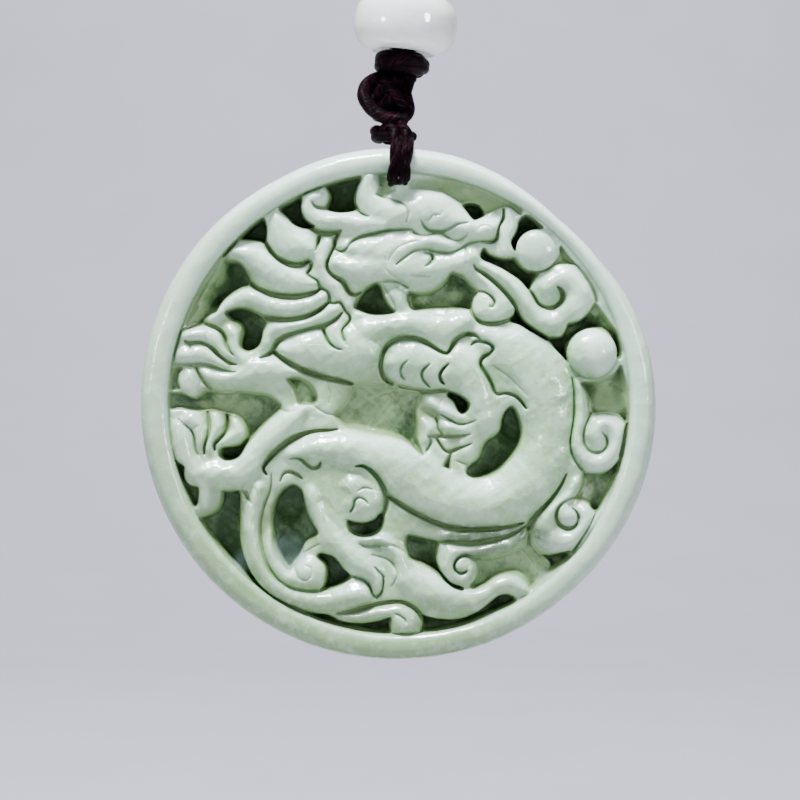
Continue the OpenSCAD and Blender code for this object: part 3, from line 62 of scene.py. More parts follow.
# Heights along the hanging pendant, in mm from the middle of the disc, as in the CAD
hang = {
    "hangHeight": 73.1117, "discRadius": 25.0, "holeX": -0.1, "holeZ": 21.1,
    "rimKnotFoot": 25.12,
    "beadX": 0.65, "beadZ": 36.87, "beadHalf": 2.85, "lean": math.radians(6),  # the bead hangs a little askew
    "wrapHeight": 2.05, "pieceGap": 0.05,
    "loopFoot": 42.1117, "loopHeight": 31.0, "loopWidth": 11.0, "legSpread": 1.2,
    "cordWidth": 1.1,
}


def place(x, y, z):  # mm from the middle of the disc to metres in the frame
    return (x * mm, y * mm, (z - hang["hangHeight"]) * mm)


# Camera, square on to the carved face
view = {"lens": 100, "sensor": 36, "nearest": 0.01, "distance": 0.216, "aimX": 0.097, "aimZ": 0.339}
cameraData = bpy.data.cameras.new("photoCamera")
cameraData.lens = view["lens"]
cameraData.sensor_width = view["sensor"]
cameraData.clip_start = view["nearest"]
camera = bpy.data.objects.new("photoCamera", cameraData)
camera.location = place(view["aimX"], -view["distance"] / mm, view["aimZ"])
camera.rotation_euler = (math.radians(90), 0, 0)
bpy.context.collection.objects.link(camera)
bpy.context.scene.camera = camera
print("camera placed")


# Curves and tubes
def curveThrough(points, perSpan=8, closed=False):  # Catmull-Rom
    p = np.asarray(points, float)
    n = len(p)
    out = []
    for i in range(n if closed else n - 1):
        if closed:
            a, b, c, d = p[i - 1], p[i], p[(i + 1) % n], p[(i + 2) % n]
        else:
            a, b, c, d = p[max(i - 1, 0)], p[i], p[i + 1], p[min(i + 2, n - 1)]
        for t in np.linspace(0, 1, perSpan, endpoint=False):
            square, cube = 2 * a - 5 * b + 4 * c - d, 3 * b - a - 3 * c + d
            out.append(0.5 * (2 * b + (c - a) * t + square * t**2 + cube * t**3))
    if not closed:
        out.append(p[-1])
    return np.array(out)


def evenlySpaced(points, step):
    p = np.asarray(points, float)
    runs = np.concatenate([[0], np.cumsum(np.linalg.norm(np.diff(p, axis=0), axis=1))])
    count = max(4, int(round(runs[-1] / step)) + 1)
    stops = np.linspace(0, runs[-1], count)
    return np.stack([np.interp(stops, runs, p[:, k]) for k in range(3)], axis=1), stops


def newObject(name, mesh):
    piece = bpy.data.objects.new(name, mesh)
    bpy.context.collection.objects.link(piece)
    return piece


def meshPiece(name, points, faces, body, slot, attributes=None):
    mesh = bpy.data.meshes.new(name)
    mesh.from_pydata([tuple(q) for q in points], [], faces)
    for label, values in (attributes or {}).items():
        layer = mesh.attributes.new(label, "FLOAT", "POINT")
        layer.data.foreach_set("value", np.asarray(values, np.float32))
    mesh.validate()
    mesh.polygons.foreach_set("use_smooth", np.ones(len(mesh.polygons), bool))
    piece = newObject(name, mesh)
    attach(piece, body)
    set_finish(piece, slot)
    return piece


def ringFaces(rings, sides):  # the quads between rings of points, and a face at each end
    faces = []
    for i in range(rings - 1):
        for j in range(sides):
            k = (j + 1) % sides
            faces.append((i * sides + j, i * sides + k, (i + 1) * sides + k, (i + 1) * sides + j))
    faces.append(tuple(range(sides - 1, -1, -1)))
    faces.append(tuple((rings - 1) * sides + j for j in range(sides)))
    return faces


def directionsAlong(path):
    tangent = np.gradient(path, axis=0)
    return tangent / np.linalg.norm(tangent, axis=1)[:, None]


# A round cord laid up from plies. Ends is the length over which a cut end is rounded off
cord = {"sides": 20, "step": 0.11, "plies": 2, "pitch": 3.2, "relief": 0.045, "ends": 0.0, "blunt": 0.02}


def cordTube(route, width, **changes):  # points, faces, the way along it and the way round it, in mm
    shape = {**cord, **changes}
    sides = shape["sides"]
    path, along = evenlySpaced(route, shape["step"])
    tangent = directionsAlong(path)
    side = np.cross(tangent[0], [0.31, 0.87, 0.23])  # any direction that no cord starts in
    side /= np.linalg.norm(side)
    sidesAlong = []
    for t in tangent:
        side = side - t * side.dot(t)
        side /= np.linalg.norm(side)
        sidesAlong.append(side)
    sidesAlong = np.array(sidesAlong)
    other = np.cross(tangent, sidesAlong)
    angle = np.linspace(0, 2 * math.pi, sides, endpoint=False)
    turn = 2 * math.pi * along[:, None] / shape["pitch"]
    lay = np.abs(np.sin(shape["plies"] / 2 * (angle[None, :] + turn)))
    radius = width / 2 * (1 - shape["relief"] + shape["relief"] * np.sqrt(lay))
    if shape["ends"]:
        away = np.clip(np.minimum(along, along[-1] - along) / shape["ends"], 0, 1)
        radius = radius * np.sqrt(np.clip(1 - (1 - away) ** 2, shape["blunt"], 1))[:, None]
    points = (
        path[:, None, :]
        + sidesAlong[:, None, :] * (radius * np.cos(angle))[:, :, None]
        + other[:, None, :] * (radius * np.sin(angle))[:, :, None]
    ).reshape(-1, 3)
    return points, ringFaces(len(path), sides), np.repeat(along, sides), np.tile(angle / (2 * math.pi), len(path))


def cordPiece(name, routes, **shape):  # a route may be a dictionary, with its own width
    points, faces, alongs, rounds = [], [], [], []
    for route in routes:
        own = dict(shape)
        if isinstance(route, dict):
            own.update({k: v for k, v in route.items() if k != "route"})
            route = route["route"]
        width = own.pop("width", hang["cordWidth"])
        p, f, a, r = cordTube(curveThrough(route, 10), width, **own)
        first = sum(len(q) for q in points)
        points.append(p)
        faces += [tuple(first + v for v in face) for face in f]
        alongs.append(a)
        rounds.append(r)
    placed = (np.concatenate(points) - [0, 0, hang["hangHeight"]]) * mm
    attributes = {"along": np.concatenate(alongs), "around": np.concatenate(rounds)}
    return meshPiece(name, placed, faces, "cord", "satin_cord", attributes)


def mirrored(half):  # a shape from its left half, which ends on the axis
    return half + [(-x, y) for x, y in half[-2::-1]]


# The hanging loop: one cord out of the top knot and back into it
loopRoute = mirrored([
    (0, 0), (-0.03, 0.06), (-0.17, 0.16), (-0.33, 0.3), (-0.43, 0.46), (-0.5, 0.62), (-0.5, 0.76), (-0.42, 0.88),
    (-0.24, 0.97), (0, 1),
])


def loopPoints():
    cordWidth = hang["cordWidth"]
    lean = hang["beadX"] + math.sin(hang["lean"]) * (hang["beadHalf"] + hang["wrapHeight"])
    out = []
    last = len(loopRoute) - 1
    for i, (across, up) in enumerate(loopRoute):
        side = (2 * i > last) - (2 * i < last)
        x = across * (hang["loopWidth"] + cordWidth) + (lean + side * hang["legSpread"]) * (1 - up) ** 2
        out.append((x, 0, hang["loopFoot"] + up * (hang["loopHeight"] + cordWidth / 2)))
    return out


hangingLoop = cordPiece("hangingLoop", [loopPoints()], sides=16, step=0.16)
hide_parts("hanging_loop")

# Strands through the hole: each is a flat braid of three plies
strandRoute = mirrored([
    (-0.84, 0.94), (-0.93, 0.865), (-0.99, 0.765), (-1, 0.6), (-1, 0.36), (-0.945, 0.18), (-0.78, 0.09),
    (-0.42, 0.05), (0, 0.04),
])
strands = {
    "clearance": 0.12, "halfDepth": 3.0, "gap": -0.08, "lean": 0.45,
    "plies": 3, "plyWidth": 0.6, "plyPitch": 2.0, "spread": 0.34, "lift": 0.13, "lay": 8.5, "start": 0.25,
    "step": 0.35, "sides": 14,
    "intoKnot": [(1.4, 25.95), (2.0, 25.6), (2.6, 25.28)],  # depth and height of the ends inside the rim knot
}


def braided(points, first):  # the plies of a flat braid along a route
    path, along = evenlySpaced(curveThrough(points, 10), strands["step"])
    tangent = directionsAlong(path)
    aside = np.array([1, 0, 0]) - tangent * tangent[:, :1]
    aside /= np.linalg.norm(aside, axis=1)[:, None]
    out = np.cross(tangent, aside)
    plies = []
    for k in range(strands["plies"]):
        phase = 2 * math.pi * (along / strands["lay"] + k / strands["plies"] + first)
        sway, weave = strands["spread"] * np.sin(phase), strands["lift"] * np.sin(2 * phase)
        plies.append(path + aside * sway[:, None] + out * weave[:, None])
    return [ply.tolist() for ply in plies]


def strandPoints(side):
    cordWidth = hang["cordWidth"]
    height = hang["rimKnotFoot"] - hang["holeZ"]
    reach = strands["halfDepth"] + strands["clearance"] + cordWidth / 2
    x = hang["holeX"] + side * (cordWidth + strands["gap"]) / 2
    route = [(x + strands["lean"] * up, depth * reach, hang["holeZ"] + up * height) for depth, up in strandRoute]
    intoKnot = [(x + strands["lean"], depth, up) for depth, up in strands["intoKnot"]]
    return [(p, -q, r) for p, q, r in intoKnot] + route + intoKnot[::-1]


for label, side in (("left", -1), ("right", 1)):
    plies = braided(strandPoints(side), strands["start"] * side)
    name = "rimStrand" + label.capitalize()
    strand = cordPiece(name, plies, width=strands["plyWidth"], sides=strands["sides"], pitch=strands["plyPitch"])
    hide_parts("rim_strand_" + label)
print("rim strands made")

# Knots, as cords tied round each other. Routes are in mm: across, depth (front is minus), up from the disc's middle
ringSteps = 16


def ring(x, z, wide, deep, tilt, start=0.0):
    angles = [start + 2 * math.pi * k / ringSteps for k in range(ringSteps + 1)]
    return [(x + wide * math.cos(a), deep * math.sin(a), z + tilt * math.cos(a)) for a in angles]


rimKnot = {
    "cordWidth": 1.1, "ends": 0.4,
    "routes": [
        ring(-0.72, 25.84, 1.5, 1.45, -0.04, 2.2),
        ring(-0.9, 26.55, 1.42, 1.25, 0.1, 4.0),
        {"route": [(-1.1, 0, 25.6), (-1.1, 0, 26.2), (-1.1, 0, 26.9)], "width": 2.6},
        {"route": [(-0.2, 0, 25.6), (-0.2, 0, 26.2), (-0.2, 0, 26.9)], "width": 2.4},
        [(0.9, -2.1, 25.3), (0.8, -2.05, 25.9), (0.45, -1.75, 26.5), (-0.1, -1.3, 27.1), (-0.6, -0.8, 27.5)],
        [(-0.2, -2.15, 25.3), (-0.35, -2.05, 25.95), (-0.7, -1.65, 26.5), (-1.2, -1.1, 27.1)],
        [(0.9, 2.1, 25.3), (0.8, 1.9, 26.0), (0.3, 1.4, 26.6), (-0.4, 0.7, 27.0)],
        [(-0.2, 2.1, 25.3), (-0.3, 1.9, 26.0), (-0.8, 1.3, 26.6), (-1.2, 0.6, 26.95)],
        {"route": [(0.5, -0.9, 26.1), (1.05, -1.2, 25.9), (1.4, -1.25, 25.68), (1.66, -1.2, 25.52)], "width": 1.0},
    ],
}
loopKnot = {
    "cordWidth": 1.3, "ends": 0.5,
    "routes": [
        {"width": 1.4, "route": [
            (0.9, -0.9, 27.7), (-0.2, -1.3, 27.5), (-1.3, -1.35, 27.65), (-2.35, -1.1, 28.25), (-3.05, -0.7, 29.05),
            (-3.4, -0.3, 29.95), (-3.15, 0, 30.85), (-2.45, 0.1, 31.45), (-1.4, 0, 31.65), (-0.4, -0.5, 31.3),
            (0.3, -0.9, 30.6)]},  # the wide loop to the left
        [(0.3, -0.6, 27.55), (0.8, -0.75, 28.1), (0.92, -0.8, 28.7), (0.75, -0.75, 29.4), (0.62, -0.6, 30.1),
         (0.8, -0.4, 30.9), (1.0, -0.2, 31.6)],
        [(-1.6, -0.9, 31.5), (-1.0, -1.25, 30.8), (-0.4, -1.35, 30.0), (0.1, -1.3, 29.2), (0.5, -1.1, 28.4)],
        [(-2.2, -0.6, 29.6), (-1.6, -1.0, 30.3), (-0.8, -1.0, 31.0), (0, -0.9, 31.6)],
        [(-1.9, -0.5, 28.6), (-1.3, -0.9, 29.1), (-0.8, -1.0, 29.9), (-0.7, -0.8, 30.9)],
        {"route": [(-1.2, 0.2, 27.4), (-1.4, 0.2, 29.0), (-1.2, 0.2, 31.0), (-0.6, 0.2, 31.8)], "width": 2.6},
        {"route": [(0.1, 0.3, 27.3), (0, 0.4, 29.0), (0.1, 0.4, 31.0), (0.3, 0.3, 31.8)], "width": 2.0},
        {"route": [(-0.6, 0, 31.0), (-0.45, 0, 31.7), (-0.3, 0, 32.5)], "width": 1.7},
        {"route": [(0.9, -0.2, 31.0), (1.0, -0.2, 31.7), (1.15, -0.1, 32.4)], "width": 1.5},
        [(-2.6, 0.8, 29.2), (-1.8, 1.2, 28.2), (-0.6, 1.4, 28.0), (0.4, 1.1, 28.6), (0.6, 0.9, 29.6), (0, 1.2, 30.6),
         (-1.2, 1.3, 31.0), (-2.2, 0.9, 30.6), (-2.6, 0.7, 29.8)],
    ],
}
for name, node, shape in (("rimKnot", "rim_knot", rimKnot), ("loopKnot", "loop_knot", loopKnot)):
    knot = cordPiece(name, shape["routes"], width=shape["cordWidth"], ends=shape["ends"])
    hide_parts(node)


def onBeadAxis(x, y, z):  # from the leaning axis of the bead to mm from the disc's middle
    c, s = math.cos(hang["lean"]), math.sin(hang["lean"])
    return (hang["beadX"] + x * c + z * s, y, hang["beadZ"] - x * s + z * c)


# The two wrapped knots: turns round a core, one cord across the front, and a tight turn at each end
wrapKnot = {
    "cordWidth": 1.12, "ends": 0.5, "radius": 2.15, "depthShare": 0.97,
    "turns": 2.3, "steps": 14, "start": 2.4, "foot": 0.6, "rise": 0.88, "wobble": 0.03,
    "coreWidth": 3.4, "coreMiddle": 1.02, "coreHalf": 0.9,
    "across": [(-1.9, -1.3, 0.75), (-0.6, -2.3, 1.0), (0.8, -2.35, 1.2), (2.1, -1.3, 1.3)],
    "tightRadius": 1.8, "tightInset": 0.5,
}


def wrapRoutes(foot):
    turns, radius = [], wrapKnot["radius"]
    steps = int(wrapKnot["turns"] * wrapKnot["steps"])
    for i in range(steps + 1):
        t = i / steps
        a = 2 * math.pi * wrapKnot["turns"] * t + wrapKnot["start"]
        wobble = 1 + wrapKnot["wobble"] * math.sin(3 * a + foot)
        x, y = radius * wobble * math.cos(a), radius * wrapKnot["depthShare"] * math.sin(a)
        turns.append(onBeadAxis(x, y, foot + wrapKnot["foot"] + wrapKnot["rise"] * t))
    coreFoot, half = foot + wrapKnot["coreMiddle"], wrapKnot["coreHalf"]
    core = {"route": [onBeadAxis(0, 0, coreFoot + z) for z in (-half, 0, half)], "width": wrapKnot["coreWidth"]}
    across = [onBeadAxis(x, y, foot + z) for x, y, z in wrapKnot["across"]]
    inset, tight = wrapKnot["tightInset"], wrapKnot["tightRadius"]
    ends = [foot + inset, foot + hang["wrapHeight"] - inset]
    tightTurns = [[onBeadAxis(x, y, z + up) for x, y, up in ring(0, 0, tight, tight, 0)] for z in ends]
    return [turns, core, across] + tightTurns


underBead = -hang["beadHalf"] - hang["pieceGap"] - hang["wrapHeight"]
overBead = hang["beadHalf"] + hang["pieceGap"]
for name, node, foot in (("beadKnot", "bead_knot", underBead), ("topKnot", "top_knot", overBead)):
    knot = cordPiece(name, wrapRoutes(foot), width=wrapKnot["cordWidth"], ends=wrapKnot["ends"])
    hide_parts(node)
print("knots made")

# The bead: a lathe-turned rondelle, a little uneven, drilled through
bead = {
    "radius": 5.0, "half": hang["beadHalf"], "flat": 2.85, "bore": 1.35, "mouth": 0.9, "sides": 96,
    "unevenness": 0.012, "unevenFrom": 3,
}
beadSide = mirrored([
    (-0.93, 0.0), (-1, 0.06), (-0.985, 0.2), (-0.93, 0.38), (-0.82, 0.6), (-0.66, 0.79), (-0.46, 0.92),
    (-0.24, 0.985), (0, 1),
])


def beadMesh():
    profile = curveThrough([(up, out, 0) for up, out in beadSide], 5)
    points, faces = [], []
    sides, half, mouth = bead["sides"], bead["half"], bead["half"] * bead["mouth"]
    rows = [(bead["flat"] + (bead["radius"] - bead["flat"]) * out, half * up) for up, out, _ in profile]
    rows += [(bead["bore"], up) for up in (mouth, 0, -mouth)]
    for radius, up in rows:
        for k in range(sides):
            a = 2 * math.pi * k / sides
            waves = math.sin(2 * a + 0.7) * 0.5 + math.sin(5 * a + up) * 0.2  # two slow waves round the bead
            r = radius * (1 + bead["unevenness"] * waves * (radius > bead["unevenFrom"]))
            points.append(place(*onBeadAxis(r * math.cos(a), r * math.sin(a), up)))
    count = len(rows)
    for i in range(count):
        for k in range(sides):
            n = (k + 1) % sides
            j = (i + 1) % count
            faces.append((i * sides + k, i * sides + n, j * sides + n, j * sides + k))
    return points, faces


beadPiece = meshPiece("milkyBead", *beadMesh(), "cord", "agate")
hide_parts("bead")

boreCords = {"width": 1.05, "apart": 1.1, "heights": (-2.8, -1.0, 1.0, 2.8)}
core = [[onBeadAxis(side * boreCords["apart"] / 2, 0, z) for z in boreCords["heights"]] for side in (-1, 1)]
beadCore = cordPiece("beadCore", core, width=boreCords["width"])
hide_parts("bead_core")
print("bead made")

# The carved stone. Heights are in mm above the flat of the carving, places in hundredths of the disc's radius
stone = {
    "pixels": 1150, "reach": 100.0, "unit": 0.25,  # the drawn field, and one of its units in mm
    "flatDepth": 2.3, "halfDepth": 3.0, "fieldRadius": 22.2,
    "pocketDepth": 3.7, "deepest": 4.5, "wallStart": 0.35, "wallWidth": 1.35,
    "grooveDepth": 0.6, "grooveTaper": 1.2, "grooveFade": 1.4, "grooveBrink": 1.5, "thinnest": 0.15,
    "formRise": 0.85, "formFullness": 0.8, "formBlur": 0.26, "lift": 0.30,
    "pocketEdge": 0.35, "pocketMouth": 0.4,  # how far a pocket rounds off the forms beside it
    "edgeRound": 0.23, "edgeReach": 0.21, "edgeSoftness": 0.03,
    "swell": 0.65, "swellReach": 1.15,
    "bulge": 1.75, "bulgeReach": 2.4, "bulgeBreak": 0.65,  # lines cut deeper than this part two bulges
    "pitFade": 0.9, "pitFlattening": 0.85, "floorLineTaper": 0.9, "finish": 0.045,
    "fieldSlope": 2.0, "fieldMargin": 1.5,  # the pockets slope up to the rim
    "slopedSide": {"wider": 9.0, "start": 135, "startRamp": 10, "end": 175, "endRamp": 12},  # more so, upper left
    "pearl": {"height": 2.1, "fullness": 0.98, "sunk": 0.55},
    "markDepth": 0.045,
    "marks": {  # of the tool. Grains: share, width. Streaks: share, direction, length, width
        "forms": {"grains": [(0.35, 0.3), (0.9, 1.1)], "streaks": [(0.3, 35, 1.8, 0.16), (0.3, -50, 1.5, 0.16)]},
        "floors": {"grains": [(0.12, 1.2)], "streaks": [(0.022, 50, 1.3, 0.1), (0.022, -35, 1.1, 0.1)]},
        "rim": {"grains": [(0.05, 2.2), (0.015, 0.5)], "streaks": []},
    },
    "rimStart": 0.03, "rimBlend": 0.08,
    "gridSide": 640, "gridOnRim": 0.84, "edgeFrom": 0.86, "backRings": (0.97, 0.8, 0.6, 0.4, 0.2),
    "triangles": 186000, "flatFacing": 0.9999,
    "hole": {
        "radius": 1.4, "flare": 0.75, "flareFrom": 0.55, "curve": 2.2, "beyond": 0.6, "mouth": 1.6,
        "rows": 15, "sides": 64,
    },
    # the relief as the material reads it, for painted shade in the hollows and painted light on the crests
    "reading": {  # of the relief, for the material
        "shallow": -1.1, "hollow": (0.32, 0.38), "hollowFrom": 0.06, "crest": (1.1, 0.45), "flank": (1.0, 0.7),
        "depthRange": 2.6, "frontDepth": 2.2, "frontReach": 0.6,
    },
}

# Outline of the disc: angle from the right, share of the radius
outlineShare = [
    [0, 0.995], [12, 0.99], [24, 0.977], [36, 0.953], [49, 0.944], [58, 0.955], [66, 0.968],
    [78, 0.984], [90, 0.99], [105, 0.992], [118, 0.987], [140, 0.998], [160, 1], [180, 1],
    [220, 1], [250, 0.996], [270, 0.99], [292, 0.989], [310, 0.987], [325, 0.992], [345, 0.997],
    [360, 0.995]]
# Section of the rim, from the field round the edge to the back: share of its width, share of half the thickness
rimSection = [
    [0.04, -0.85], [0.2, -0.96], [0.46, -1], [0.7, -0.93], [0.9, -0.7], [1, -0.25], [1, 0.3],
    [0.9, 0.8], [0.72, 1]]

